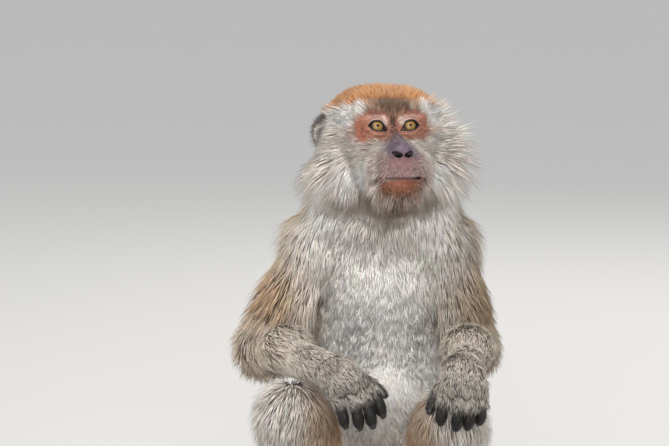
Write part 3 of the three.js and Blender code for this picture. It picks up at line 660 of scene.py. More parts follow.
def through(points, count):
    """A smooth curve through points (Catmull-Rom), at even steps of its own length."""
    ends = np.vstack([2 * points[0] - points[1], points, 2 * points[-1] - points[-2]])
    t = np.linspace(0, len(points) - 1.0001, 40 * len(points))
    i, f = t.astype(int), (t % 1)[:, None]
    a, b, c, d = (ends[i + k] for k in range(4))
    curve = 0.5 * (2 * b + (c - a) * f + (2 * a - 5 * b + 4 * c - d) * f**2 + (3 * b - a - 3 * c + d) * f**3)
    run = np.concatenate([[0], np.cumsum(np.linalg.norm(np.diff(curve, axis=0), axis=1))])
    even = np.linspace(0, run[-1], count)
    return np.stack([np.interp(even, run, curve[:, k]) for k in range(3)], axis=1)


tail_line = through(TAIL_ROUTE, TAIL["rings"])
tail_share = np.linspace(0, 1, TAIL["rings"])
tail_radius = (TAIL["root"] + (TAIL["tip"] - TAIL["root"]) * tail_share) * np.sqrt(1 - tail_share**40 * 0.99)
tail_radii = np.repeat(tail_radius[:, None], TAIL["sides"], axis=1)
tail_up = np.tile((0, 0, 1.0), (TAIL["rings"], 1))
flesh.append(mesh_object("tail_flesh", *tube(tail_line, tail_radii, tail_up, TAIL["sides"])))

# ---------------------------------------------------------------- one skin
# All the flesh is joined into one closed surface. Its colour follows from where each place is on the body:
# flushed skin round the eyes, a slate nose, dark lids, and under the coat the colour of the hair's roots,
# darkened, most under a full coat, with painted shade of the hair over it.
joined = bpy.data.collections.new("joined")
bpy.context.scene.collection.children.link(joined)
for piece in flesh[1:]:
    bpy.context.collection.objects.unlink(piece)
    joined.objects.link(piece)
skin = flesh[0]
join = skin.modifiers.new("join", "BOOLEAN")
join.operation = "UNION"
join.operand_type = "COLLECTION"
join.collection = joined
join.solver = "MANIFOLD"
evaluated = skin.evaluated_get(bpy.context.evaluated_depsgraph_get())
skin_mesh = bpy.data.meshes.new_from_object(evaluated)
skin.modifiers.clear()
skin.data = skin_mesh
for piece in flesh[1:]:
    bpy.data.objects.remove(piece)
bpy.data.collections.remove(joined)



def read_out(items, field, kind=float):
    """Three numbers of each item of a mesh, in rows."""
    values = np.zeros(3 * len(items), kind)
    items.foreach_get(field, values)
    return values.reshape(-1, 3)


skin_mesh.calc_loop_triangles()
skin_at = read_out(skin_mesh.vertices, "co") / MM
skin_normal = read_out(skin_mesh.vertices, "normal")
skin_triangles = read_out(skin_mesh.loop_triangles, "vertices", int)
skin_corners = skin_at[skin_triangles]
skin_sides = skin_corners[:, 1:] - skin_corners[:, :1]
skin_area = np.linalg.norm(np.cross(skin_sides[:, 0], skin_sides[:, 1]), axis=1) / 2


def colour(red, green, blue):
    """A colour as it is seen, 0 to 255, as the linear light that a shader takes."""
    c = np.array((red, green, blue)) / 255
    return np.where(c > 0.04045, ((c + 0.055) / 1.055) ** 2.4, c / 12.92)


def blot(q, centre, half, soft):
    """1 within an egg and 0 outside it, with an edge as wide as `soft` of its size."""
    out = np.linalg.norm((q - np.array(centre, float)) / half, axis=1)
    t = np.clip((1 + soft - out) / (2 * soft), 0, 1)
    return t * t * (3 - 2 * t)


def ramp(value, low, high):
    """0 below low, 1 above high, smooth between."""
    t = np.clip((value - low) / (high - low), 0, 1)
    return t * t * (3 - 2 * t)


def wander(p, wave, seed):
    """A smooth random field between about -1 and 1: eight sine waves about `wave` long, in random ways."""
    draw = np.random.default_rng(seed)
    ways = draw.normal(size=(8, 3))
    ways *= (2 * np.pi / wave * draw.uniform(0.6, 1.6, 8) / np.linalg.norm(ways, axis=1))[:, None]
    return np.sin(p @ ways.T + draw.uniform(0, 2 * np.pi, 8)).sum(1) / 3


# Marks of the head, each an egg in the head's own frame with both sides alike: its middle, half-sizes and
# softness, the colours of the hair's root and tip, its length, its cover, and its lift in degrees.
HEAD_MARKS = [
    ((44, 4, -6), (30, 60, 44), 0.3, (146, 132, 120), (236, 226, 214), 31, 1.0, 49),  # cheeks
    ((20, 56, -10), (60, 36, 50), 0.3, (140, 122, 100), (224, 206, 178), 24, 1.0, 26),  # nape
    ((42, 14, -48), (34, 50, 24), 0.45, (246, 236, 229), (255, 254, 251), 25, 1.0, 30),  # ruff
    ((44, 4, 16), (16, 28, 18), 0.4, (158, 146, 138), (244, 238, 231), 25, 1.0, 50),  # temples
    ((0, -6, 54), (60, 58, 43.5), 0.1, (150, 90, 46), (227, 165, 101), 12, 1.0, 16),  # crown
    ((29, -27, 17), (22, 21, 8), 0.3, (168, 161, 156), (250, 248, 245), 9, 1.0, 20),  # white brow band
    ((0, -38, 22), (17, 15, 10), 0.45, (26, 18, 12), (120, 82, 45), 7, 1.0, 24),  # brow
    ((30, -24, -8), (15, 22, 14), 0.3, (142, 128, 119), (240, 231, 223), 12, 1.0, 26),  # under the eye
    ((29, -40, -26), (20, 26, 9.5), 0.3, (206, 198, 194), (255, 255, 255), 15, 1.0, 25),  # white band
    ((30, -27, -43.5), (22, 28, 10.5), 0.35, (72, 50, 34), (150, 114, 86), 14, 1.0, 24),  # dusky band
    ((0, -52, -60), (26, 34, 15), 0.35, (56, 42, 34), (158, 138, 118), 12, 1.0, 26),  # chin
    ((0, -66, -27), (21, 22, 18), 0.25, (120, 89, 89), (220, 205, 199), 2.4, 0.25, 30),  # muzzle
    ((0, -72, -42), (19, 16, 6), 0.25, (112, 66, 48), (196, 152, 124), 1.8, 0.08, 40),  # lower lip
    ((0, -68, -12), (13, 20, 16), 0.3, (90, 76, 84), (190, 176, 172), 1.6, 0.02, 30),  # nose
    ((0, -52, 1), (9, 14, 11), 0.3, (104, 68, 60), (170, 140, 126), 1.6, 0.02, 30),  # bridge of the nose
    ((15.5, -43, 7), (17.6, 17, 13), 0.15, (150, 92, 74), (206, 160, 132), 1.6, 0.0, 30),  # eye ring
]
# Bare skin has marks of its own, laid over the colour of the hair's roots.
SKIN_MARKS = [
    ((15, -44, 8.5), (19, 18, 14), 0.2, (162, 112, 95)),  # flushed ring round the eye
    ((26.5, -36, 5), (8, 13, 10), 0.6, (136, 78, 57)),  # its rusty outer corner
    ((13, -46, 15.5), (8, 10, 3.6), 0.6, (158, 126, 116)),  # greyish upper lid
    ((14, -44, 20.5), (17, 12, 2.6), 0.6, (104, 62, 50)),  # shaded border under the brow
    ((0, -50, 6), (6, 12, 11), 0.6, (89, 51, 45)),  # bridge of the nose
    ((7.0, -47, 13), (3.2, 8, 4.2), 0.4, (180, 160, 150)),  # pale inner lid
    ((0, -44, 15), (2.7, 12, 9), 0.6, (56, 32, 25)),  # dark line between the brows
    ((0, -66, -8), (12, 24, 14), 0.5, (75, 62, 72)),  # slate nose
    ((0, -78, -13), (6, 8, 4), 0.5, (94, 80, 92)),  # its lighter tip
    ((0, -76, -26), (15, 12, 8), 0.5, (117, 83, 84)),  # upper lip
    ((18, -66, -35), (7, 12, 5), 0.6, (112, 80, 74)),  # corners of the mouth
    ((0, -72, -43), (19, 16, 6.5), 0.25, (106, 59, 41)),  # lower lip
    ((4.0, -78, -17.2), (3.5, 9, 2.1), 0.12, (3, 2, 2)),  # nostrils: painted shade inside them
]
HEAD_FLOW_FROM = np.array((0, -72, -6))  # the hair of the head lies away from the nose
COLUMNS = 9  # the numbers of one kind of coat: two colours, then how it grows
ROOT, TIP, COLOURS = slice(0, 3), slice(3, 6), slice(0, 6)
LENGTH, COVER, LIFT = 6, 7, 8


def kind_of(root, tip, length, cover, lift):
    """The numbers of one kind of coat, with its colours as light."""
    return np.hstack([colour(*root), colour(*tip), length, cover, lift])


COAT = {  # hair's root colour, tip colour, length, cover and lift
    "back": ((108, 90, 66), (212, 188, 148), 23, 1.0, 24),
    "chest": ((243, 237, 231), (255, 255, 253), 13, 1.0, 9),
    "mantle": ((234, 220, 212), (255, 252, 248), 24, 1.0, 20),
    "shoulder": ((158, 142, 130), (230, 216, 198), 23, 1.0, 30),
    "elbow": ((132, 112, 92), (238, 220, 196), 19, 1.0, 30),
    "arm_inside": ((196, 178, 162), (246, 236, 222), 22, 1.0, 34),
    "forearm": ((134, 122, 110), (240, 229, 214), 11, 1.0, 11),
    "hand": ((88, 80, 77), (210, 202, 192), 7, 1.0, 12),
    "finger": ((15, 14, 13), (84, 80, 76), 3, 0.03, 20),
    "thigh": ((166, 154, 144), (252, 246, 238), 18, 1.0, 24),
    "leg_inside": ((133, 105, 82), (193, 164, 133), 12, 1.0, 16),
    "shin": ((150, 140, 132), (246, 240, 232), 16, 1.0, 22),
    "foot": ((84, 76, 72), (214, 206, 194), 6, 0.9, 18),
    "tail": ((84, 72, 58), (190, 172, 146), 11, 1.0, 18),
}
COAT = {region: kind_of(*grows) for region, grows in COAT.items()}
EAR_SKIN = kind_of((38, 33, 33), (96, 90, 86), 2.2, 0.014, 24)
GOLD = np.hstack([colour(103, 69, 37), colour(208, 163, 107)])  # on the outside of the upper arm
LOW_BELLY_SHADE = (0.56, 0.61, 0.64) * 2  # how much of its light the lap's hair loses
LEFT_ARM_SHADE = (0.67, 0.66, 0.61) * 2  # how much the hair of the shaded arm keeps


def mixed(first, second, share):
    """Two kinds of coat mixed, with `share` of the second at each place."""
    share = share[:, None]
    return first * (1 - share) + second * share


def near_line(p, line, radii):
    """How far each place is from a round body about a line of points, and which point is the nearest."""
    gap = np.linalg.norm(p[:, None] - line, axis=2)
    nearest = gap.argmin(1)
    return gap[np.arange(len(nearest)), nearest] - radii[nearest], nearest


def digit_coat(p, n, limb, side):
    """How far each place is from the digits of a hand or foot, what grows there and how it lies: short hair
    on the back of the first bone, and next to none beyond it or beneath."""
    origin, turn = FRAMES[limb, side]
    distance = np.full(len(p), 1e3)
    share = np.zeros(len(p))
    flow = np.tile(turn[1], (len(p), 1))
    here = np.nonzero(np.linalg.norm(p - origin - 40 * turn[1], axis=1) < 90)[0]
    for (its_limb, its_side, _), (line, radius) in DIGIT_LINES.items():
        if (its_limb, its_side) == (limb, side):
            gap, nearest = near_line(p[here], line, np.full(len(line), radius))
            closer = gap < distance[here]
            distance[here[closer]] = gap[closer]
            share[here[closer]] = nearest[closer] / len(line)
            flow[here[closer]] = np.gradient(line, axis=0)[nearest[closer]]
    bare = np.maximum(ramp(share, 0.38, 0.6), ramp(-(n @ turn[2]), 0.2, 0.6))
    return distance - 1.5, mixed(COAT[limb], COAT["finger"], bare), flow


def head_coat(p):
    """How far the head is, what grows on it and how it lies. Each mark is laid over those before it, with a
    wandering edge. Then hair is kept short toward the bare skin of nose, lids, mouth and ear."""
    q = to_head(p)
    m = folded_over(q)
    kind = np.zeros((len(p), COLUMNS)) + kind_of(*HEAD_MARKS[0][3:])
    edge = 1 + 0.09 * wander(q, 9, 3)[:, None]
    for centre, half, soft, *grows in HEAD_MARKS:
        share = blot(m * edge + np.array(centre) * (1 - edge), centre, half, soft)[:, None]
        kind = kind * (1 - share) + kind_of(*grows) * share
    from_nose = np.linalg.norm(q - (0, -70, -10), axis=1)
    from_lids = np.where(m[:, 1] < -26, lid_opening(m), 99)
    from_ear = bone(m, EAR_AT - (0, 0, 10), EAR_AT + (0, 0, 8), 0, 0)
    by_ear = 1.5 + 0.65 * np.clip(from_ear - 18, 0, None) + 26 * ramp(q[:, 0], 10, 30)
    by_ear = by_ear + 26 * ramp(m[:, 1], 29, 38)  # long again behind it, above it and below it
    by_ear = by_ear + 26 * ramp(m[:, 2], 17, 25) + 26 * ramp(-m[:, 2], 8, 22)
    by_nose = 2.0 + 0.5 * np.clip(from_nose - 14, 0, None)
    by_lids = 1.0 + 0.7 * np.clip(from_lids, 0, None)
    length = np.minimum(np.minimum(np.minimum(kind[:, LENGTH], by_nose), by_lids), by_ear)
    length *= 1 + 0.28 * ramp(q[:, 0], 15, 45) + 0.08 * ramp(-q[:, 0], 15, 45) * ramp(-q[:, 2], 12, 30)
    kind[:, LENGTH] = np.minimum(length, 12 + 28 * ramp(-m[:, 2], -29, -19))  # none is long on the crown
    mouth = (np.abs(lip(q, 0.2, 0.3, -0.3)) < 3.0) & (m[:, 1] < -50)
    nostril = blot(m, (4, -79, -17), (5, 8, 4), 0.2) > 0.5
    kind[(from_lids < 3.4) | mouth | nostril, COVER] = 0
    cup = ramp(head(q), 1.5, 4) * (from_ear < 30)
    before_cup = ramp(-from_ear, -19, -14) * ramp(-m[:, 1], -27, -22)
    kind = kind + (EAR_SKIN - kind) * np.maximum(cup, before_cup)[:, None]
    flow = (q - HEAD_FLOW_FROM) * (1, 1, 1.1)
    flow = flow / np.linalg.norm(flow, axis=1)[:, None]
    flow = flow + (0, 0.35, -0.25) * ramp(q[:, 1], -40, 10)[:, None]
    side = np.sign(q[:, 0])[:, None] * (1, 0, 0)
    flow = flow + (1.4 * side + (0, 0, 0.8)) * blot(m, (44, 2, 18), (17, 28, 16), 0.5)[:, None]
    return head(q) - 3, kind, flow @ HEAD_TURN.T


def neck_and_trunk_coat(p, n):
    """The same for the neck and the trunk: grizzled hair behind and pale hair ahead, that lies downward."""
    front = ramp(-(p[:, 1] - 4) / np.maximum(np.hypot(p[:, 0], p[:, 1] - 4), 1), 0.05, 0.55)
    aside = np.sign(p[:, 0])
    down = -np.ones(len(p))
    flow = np.column_stack([0.5 * aside * ramp(np.abs(p[:, 0]), 8, 50), 0.1 * n[:, 1], down])
    yield "neck", neck(p), mixed(COAT["back"], COAT["mantle"], front), flow
    kind = mixed(COAT["back"], COAT["chest"], front)
    kind[:, COLOURS] *= 1 - ramp(-p[:, 2], -190, -120)[:, None] * LOW_BELLY_SHADE
    kind[:, COLOURS] *= 1 - 0.36 * ramp(p[:, 0], 44, 60)[:, None]  # in the shade of its left arm
    flow = np.column_stack([0.12 * aside, np.where(front > 0.5, 0, 0.2), down])
    yield "trunk", trunk(p), kind, flow


def limb_coat(p, n, side):
    """The same for an arm and a leg, bone by bone, with other hair on their inner sides."""
    s, at = SIDES[side], JOINTS[side]
    arm_name, leg_name = "arm_" + side, "leg_" + side
    inside = ramp(-s * n[:, 0], 0.0, 0.7)
    drop = ramp(between(at["shoulder"], at["elbow"], 0.4)[2] - p[:, 2], 0, 40)
    golden = blot(p, (s * 84, -14, 248), (24, 40, 34), 0.6)[:, None]
    kind = mixed(COAT["shoulder"], COAT["elbow"], drop)
    kind[:, COLOURS] += (GOLD - kind[:, COLOURS]) * 0.8 * golden
    kind += (COAT["arm_inside"] - kind) * inside[:, None]
    if side == LEFT:
        kind[:, COLOURS] *= LEFT_ARM_SHADE
    else:
        kind[:, LENGTH:] += (3, 0, 5)
    yield arm_name, bone(p, at["shoulder"], at["elbow"], 20, 16), kind, at["elbow"] - at["shoulder"]
    kind = np.tile(COAT["forearm"], (len(p), 1))
    yield arm_name, bone(p, at["elbow"], at["wrist"], 15.5, 12), kind, at["wrist"] - at["elbow"]
    turn = FRAMES["hand", side][1]
    kind = mixed(COAT["hand"], COAT["finger"], ramp(-(n @ turn[2]), 0.1, 0.6))
    yield arm_name, palm(p, side) - 2, kind, turn[1]
    yield arm_name, *digit_coat(p, n, "hand", side)

    inside = ramp(-s * n[:, 0], 0.1, 0.8)
    kind = mixed(COAT["thigh"], COAT["leg_inside"], inside)
    flow = 0.4 * (at["knee"] - at["hip"]) - (0, 0, 85)
    yield leg_name, bone(p, at["hip"], at["knee"], 38, 24), kind, flow
    kind = mixed(COAT["shin"], COAT["leg_inside"], inside * 0.6)
    yield leg_name, bone(p, at["knee"], at["ankle"], 24, 13), kind, at["ankle"] - at["knee"]
    turn = FRAMES["foot", side][1]
    kind = mixed(COAT["foot"], COAT["finger"], ramp(-(n @ turn[2]), 0.1, 0.6))
    yield leg_name, sole(p, side) - 1, kind, turn[1] - 0.2 * turn[2]
    yield leg_name, *digit_coat(p, n, "foot", side)


def tail_coat(p):
    """The same for the tail, whose hair lies toward its tip."""
    line = tail_line[::3]
    behind = p[:, 1] > 40
    distance = np.full(len(p), 1e3)
    flow = np.tile((0, 1.0, 0), (len(p), 1))
    distance[behind], nearest = near_line(p[behind], line, tail_radius[::3])
    flow[behind] = np.gradient(line, axis=0)[nearest]
    return distance, np.tile(COAT["tail"], (len(p), 1)), flow


def coat_at(p, n):
    """What grows at each place p of the skin, which faces n: the numbers of its kind of coat, the way that
    it lies, and which region it is in. Regions mix where their flesh meets: the weight of each falls off by
    a power of e with how much further it is than the nearest."""
    regions = [("head", *head_coat(p)), *neck_and_trunk_coat(p, n)]
    for side in SIDES:
        regions += limb_coat(p, n, side)
    regions.append(("tail", *tail_coat(p)))
    names, distances, kinds, flows = zip(*regions)
    distances = np.stack(distances)
    soft = 2.5 + 5 * ramp(p[:, 2], 155, 195) + 4 * ramp(p[:, 2], 210, 250)
    weight = np.exp(-(distances - distances.min(0)) / soft)
    weight = weight / weight.sum(0)
    kind = sum(w[:, None] * its_kind for w, its_kind in zip(weight, kinds))
    flow = 0
    for w, way in zip(weight, flows):
        flow = flow + w[:, None] * way / np.linalg.norm(np.atleast_2d(way), axis=1)[:, None]
    return kind, flow, np.array(names)[weight.argmax(0)]


kind, _, _ = coat_at(skin_at, skin_normal)
# Painted shade: the skin is darker than the hair's roots, and darkest where the coat covers it fully.
skin_colour = kind[:, ROOT] * (0.9 - 0.2 * kind[:, [COVER]])
q = to_head(skin_at)
m = folded_over(q)
for centre, half, soft, shade in SKIN_MARKS:
    share = blot(m, centre, half, soft)[:, None]
    skin_colour = skin_colour * (1 - share) + colour(*shade) * share
freckle = 1 + 0.16 * wander(skin_at, 3.2, 5) + 0.12 * wander(skin_at, 9, 6)
skin_colour = np.clip(skin_colour * freckle[:, None], 0, 1)


def colour_attribute(mesh, shades):
    attribute = mesh.color_attributes.new("shade", "FLOAT_COLOR", "POINT")
    attribute.data.foreach_set("color", np.column_stack([shades, np.ones(len(shades))]).ravel())


def smooth(mesh):
    """Shades the whole mesh smooth."""
    mesh.polygons.foreach_set("use_smooth", np.ones(len(mesh.polygons), bool))


def add_node(material, kind, sockets=None, **settings):
    """A shader node. Each of the named sockets gets a value, or a link from another node's output."""
    node = material.node_tree.nodes.new("ShaderNode" + kind)
    for name, value in settings.items():
        setattr(node, name, value)
    for socket, value in (sockets or {}).items():
        if isinstance(value, bpy.types.NodeSocket):
            material.node_tree.links.new(value, node.inputs[socket])
        else:
            node.inputs[socket].default_value = value
    return node.outputs


def feed(shader, socket, output):
    """Links a node's output to a socket of the material's own shader."""
    shader.id_data.links.new(output, shader.inputs[socket])


# How far each place is from the opening of the lids and from the line of the mouth. The third is not used.
edges = np.full((len(skin_at), 3), 9.0)
seen = (q[:, 1] < -26) & (np.abs(q[:, 2]) < 30)
edges[seen, 0] = lid_opening(m[seen])
edges[q[:, 1] < -48, 1] = np.abs(lip(q[q[:, 1] < -48], 0.2, 0.3, -0.3))
crease_shade_at = np.where(q[:, 2] > EYE_AT[2], 3.1, 4.3)  # where painted shade lies in a fold: one above each eye and one below it
# Painted shade: the skin is darkened along each fold of the lids, as shade in its crease.
skin_colour *= (1 - 0.45 * np.exp(-(((edges[:, 0] - crease_shade_at) / 0.6) ** 2)))[:, None]
colour_attribute(skin_mesh, skin_colour)
skin_mesh.attributes.new("edges", "FLOAT_VECTOR", "POINT").data.foreach_set("vector", edges.ravel())

skin_material, shader = new_material("bare_skin", {"Roughness": 0.58, "Specular IOR Level": 0.3})
place = add_node(skin_material, "TexCoord")["Object"]
pores = add_node(skin_material, "TexVoronoi", {"Vector": place, "Scale": 900})["Distance"]
wrinkle = add_node(skin_material, "TexNoise", {"Vector": place, "Scale": 420, "Detail": 5})["Fac"]
height = {"Factor": 0.5, "A": pores, "B": wrinkle}
height = add_node(skin_material, "Mix", height, data_type="FLOAT")["Result"]
edge = add_node(skin_material, "Attribute", attribute_name="edges")["Vector"]
away = add_node(skin_material, "SeparateXYZ", {"Vector": edge})
# Fine folds run round the lids: a sine of the distance from them, made uneven, that fades away from them.
uneven = {0: wrinkle, 1: 2.2, 2: away["X"]}
uneven = add_node(skin_material, "Math", uneven, operation="MULTIPLY_ADD")["Value"]
turns = add_node(skin_material, "Math", {0: uneven, 1: 3.3}, operation="MULTIPLY")["Value"]
folds = add_node(skin_material, "Math", {0: turns}, operation="SINE")["Value"]
near_lids = {"Value": away["X"], "From Min": 2, "From Max": 8, "To Min": 0.9, "To Max": 0}
near_lids = add_node(skin_material, "MapRange", near_lids)["Result"]
folded = {0: folds, 1: near_lids, 2: height}
folded = add_node(skin_material, "Math", folded, operation="MULTIPLY_ADD")["Value"]
bump = add_node(skin_material, "Bump", {"Strength": 0.45, "Distance": 0.0006, "Height": folded})["Normal"]
feed(shader, "Normal", bump)
# The rims of the lids are dark skin. Along the line of the mouth the dark is painted shade of its groove.
darker = {}
for axis, full, none in (("X", 0.5, 1.3), ("Y", 0.6, 1.35)):
    fade = {"Value": away[axis], "From Min": full, "From Max": none, "To Min": 1, "To Max": 0}
    fade = add_node(skin_material, "MapRange", fade, interpolation_type="SMOOTHSTEP")["Result"]
    darker[len(darker)] = fade
lid_rims_and_mouth_shade = add_node(skin_material, "Math", darker, operation="MAXIMUM")["Value"]
shade = add_node(skin_material, "Attribute", attribute_name="shade")["Color"]
lined = {"Factor": lid_rims_and_mouth_shade, "A": shade, "B": (*colour(16, 12, 12), 1)}
feed(shader, "Base Color", add_node(skin_material, "Mix", lined, data_type="RGBA")["Result"])
skin_mesh.materials.clear()
skin_mesh.materials.append(skin_material)
smooth(skin_mesh)
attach(skin, "root")
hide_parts(*(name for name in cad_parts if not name.startswith("eye_")))

# ---------------------------------------------------------------- eyes
# Each eye is a glossy ball with a slight bulge ahead. Its iris is gold with a dark rim round it and a small
# pupil, and its white is nearly black, as in most monkeys. Both look the way the head faces, a little up.
EYE = dict(rings=72, sides=72, radius=EYE_RADIUS - 0.15, iris=4.35, pupil=1.15, bulge=0.5, bulge_turn=0.42)
GAZE = np.array((0, -0.985, 0.17))
PUPIL_BLACK, IRIS_GOLD, IRIS_OLIVE = colour(5, 4, 4), colour(138, 104, 46), colour(76, 66, 32)
LIMBUS, DARK_WHITE = colour(18, 12, 8), colour(24, 17, 13)


def eyeball(side):
    """A sphere about the way it looks, with the iris painted by the distance from that axis and by the turn
    round it, so that fine spokes run out from the pupil."""
    away = np.linspace(0, np.pi, EYE["rings"]) ** 1.6 / np.pi**0.6
    turn = np.linspace(0, 2 * np.pi, EYE["sides"], endpoint=False)
    a, t = np.meshgrid(away[1:-1], turn, indexing="ij")
    ahead = GAZE / np.linalg.norm(GAZE)
    across = np.array((1.0, 0, 0))
    up = np.cross(across, ahead)
    radius = EYE["radius"] + EYE["bulge"] * np.exp(-((a / EYE["bulge_turn"]) ** 2))
    ways = np.cos(a)[..., None] * ahead + (np.sin(a) * np.cos(t))[..., None] * across
    ways = (ways + (np.sin(a) * np.sin(t))[..., None] * up) * radius[..., None]
    out = np.vstack([ahead * (EYE["radius"] + EYE["bulge"]), ways.reshape(-1, 3), -ahead * EYE["radius"]])
    places = from_head(out + EYE_AT * (SIDES[side], 1, 1))
    count, sides = EYE["rings"] - 2, EYE["sides"]
    index = 1 + np.arange(count * sides).reshape(count, sides)
    beside = np.roll(index, -1, axis=1)
    first = [(0, int(i), int(j)) for i, j in zip(index[0], beside[0])]
    last = [(count * sides + 1, int(j), int(i)) for i, j in zip(index[-1], beside[-1])]
    ball = mesh_object("eyeball_" + side, places, ring_quads(index).tolist() + first + last)
    off_axis = np.concatenate([[0], (np.sin(a) * EYE_RADIUS).ravel(), [0]])
    behind = np.concatenate([[0], a.ravel(), [np.pi]]) > 1.5
    spin = np.concatenate([[0], t.ravel(), [0]])
    spokes = 0.5 + 0.25 * np.sin(23 * spin + 2 * np.sin(5 * spin)) + 0.25 * np.sin(41 * spin + 1.3)
    outward = ramp(off_axis, EYE["pupil"], EYE["iris"])[:, None]
    iris = IRIS_GOLD * (1 - 0.55 * outward) + IRIS_OLIVE * 0.55 * outward
    iris = iris * (0.7 + 0.5 * spokes)[:, None]
    shades = PUPIL_BLACK
    rings = (
        (iris, EYE["pupil"] - 0.15, EYE["pupil"] + 0.3),
        (LIMBUS, EYE["iris"] - 0.6, EYE["iris"] + 0.1),
        (DARK_WHITE, EYE["iris"] + 0.3, EYE["iris"] + 1.4),
    )
    for shade, start, end in rings:
        shades = shades + (shade - shades) * ramp(off_axis, start, end)[:, None]
    shades[behind] = DARK_WHITE
    colour_attribute(ball.data, shades)
    return ball


eye_looks = {"Roughness": 0.4, "Specular IOR Level": 0.15, "Coat Weight": 0.4, "Coat Roughness": 0.03}
eye_material, shader = new_material("eye", eye_looks)
feed(shader, "Base Color", add_node(eye_material, "Attribute", attribute_name="shade")["Color"])
for side in SIDES:
    ball = eyeball(side)
    ball.data.materials.append(eye_material)
    smooth(ball.data)
    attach(ball, "root")
    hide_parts("eye_" + side)

# ---------------------------------------------------------------- edges of the lids
# The edge of each pair of lids is a rounded, dark and moist rim of skin, that lies on the eyeball all round.
LID_EDGE = dict(steps=96, sides=10, radius=0.85, at_corner=0.6, out=0.25, over=0.6)


def lid_edge(side):
    """A tube round the almond of lid_opening, `out` beyond it above and below and `over` the ball's surface,
    that is thinner toward both corners. `a` goes once round the opening."""
    a = np.linspace(0, 2 * np.pi, LID_EDGE["steps"], endpoint=False)
    height = np.abs(np.sin(a))
    across = LIDS["half_width"] * np.cos(a)
    upper = LIDS["upper"] * height**1.3 + LID_EDGE["out"] * height
    lower = -LIDS["lower"] * height**1.5 - LID_EDGE["out"] * height
    up = np.where(np.sin(a) >= 0, upper, lower) - inner_corner(across)
    up = up + LIDS["raised"] + LIDS["slant"] * across
    far = EYE_RADIUS + LID_EDGE["over"]
    line = np.stack([across, -np.sqrt(far**2 - across**2 - up**2), up], axis=1)
    radius = LID_EDGE["at_corner"] + (LID_EDGE["radius"] - LID_EDGE["at_corner"]) * height**0.7
    way = np.roll(line, -1, axis=0) - np.roll(line, 1, axis=0)
    way = way / np.linalg.norm(way, axis=1)[:, None]
    ahead = line / np.linalg.norm(line, axis=1)[:, None]
    beside = np.cross(way, ahead)
    b = np.linspace(0, 2 * np.pi, LID_EDGE["sides"], endpoint=False)
    ring = np.cos(b)[None, :, None] * ahead[:, None] + np.sin(b)[None, :, None] * beside[:, None]
    places = (line[:, None] + ring * radius[:, None, None]).reshape(-1, 3)
    places = from_head((places + EYE_AT) * (SIDES[side], 1, 1))
    index = np.arange(len(places)).reshape(LID_EDGE["steps"], LID_EDGE["sides"])
    faces = ring_quads(np.vstack([index, index[:1]]))
    return places, faces if SIDES[side] < 0 else faces[:, ::-1]


(right_places, right_faces), (left_places, left_faces) = lid_edge(RIGHT), lid_edge(LEFT)
lid_faces = np.vstack([right_faces, left_faces + len(right_places)]).tolist()
lid_edges = mesh_object("lid_edges", np.vstack([right_places, left_places]), lid_faces)
smooth(lid_edges.data)
lid_looks = {"Base Color": (*colour(20, 15, 14), 1), "Roughness": 0.45, "Specular IOR Level": 0.3}
lid_material, _ = new_material("dark_lid", lid_looks)
lid_edges.data.materials.append(lid_material)
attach(lid_edges, "root")

# ---------------------------------------------------------------- nails
# Each digit ends in a narrow dark nail of horn, arched across and bent down over the tip.
NAIL = dict(rows=9, columns=9, half_turn=np.radians(58), thick=0.5)


def nail(corner, way, back, radius, count_before):
    """A plate on a grid: `u` goes round the digit's back and `v` along it, from its root to past the tip.
    The outer face, the inner one `thick` below it and the walls between them are one closed shell."""
    rows, columns = NAIL["rows"], NAIL["columns"]
    u, v = np.meshgrid(np.linspace(-1, 1, columns), np.linspace(0, 1, rows), indexing="xy")
    side = np.cross(back, way)
    turn = u * NAIL["half_turn"] * (1 - 0.35 * v**3)
    along = (v * 1.3 - 0.45) * radius
    drop = 0.75 * radius * np.clip(v - 0.35, 0, None) ** 2
    shells = []
    for depth in (0.0, NAIL["thick"]):
        out = radius * (1.04 - 0.1 * v**2) - depth
        place = corner + way * along[..., None] - back * drop[..., None]
        place = place + back * (out * np.cos(turn))[..., None]
        place = place + side * (out * np.sin(turn) * 0.86)[..., None]
        shells.append(place.reshape(-1, 3))
    index = np.arange(rows * columns).reshape(rows, columns)
    top = np.stack([index[:-1, :-1], index[:-1, 1:], index[1:, 1:], index[1:, :-1]], axis=-1).reshape(-1, 4)
    rim = np.concatenate([index[0, :-1], index[:-1, -1], index[-1, :0:-1], index[:0:-1, 0]])
    beyond = np.roll(rim, -1)
    low = rows * columns
    walls = np.stack([rim, rim + low, beyond + low, beyond], axis=-1)
    faces = np.concatenate([top, top[:, ::-1] + low, walls]) + count_before
    return np.vstack(shells), faces


nail_places, nail_faces, so_far = [], [], 0
for corner, way, back, radius in DIGIT_BACKS.values():
    places, faces = nail(corner, way, back, radius, so_far)
    if np.linalg.det(np.array((np.cross(back, way), way, back))) < 0:
        faces = faces[:, ::-1]
    nail_places.append(places)
    nail_faces.append(faces)
    so_far += len(places)
nails = mesh_object("nails", np.vstack(nail_places), np.concatenate(nail_faces).tolist())
smooth(nails.data)
nail_material, shader = new_material("nail_horn", {"Roughness": 0.3})
place = add_node(nail_material, "TexCoord")["Object"]
grain = add_node(nail_material, "TexNoise", {"Vector": place, "Scale": 500})["Fac"]
tints = add_node(nail_material, "ValToRGB", {"Fac": grain})["Color"]
tints.node.color_ramp.elements[0].color = (*colour(14, 12, 11), 1)
tints.node.color_ramp.elements[1].color = (*colour(38, 31, 27), 1)
feed(shader, "Base Color", tints)
nails.data.materials.append(nail_material)
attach(nails, "root")

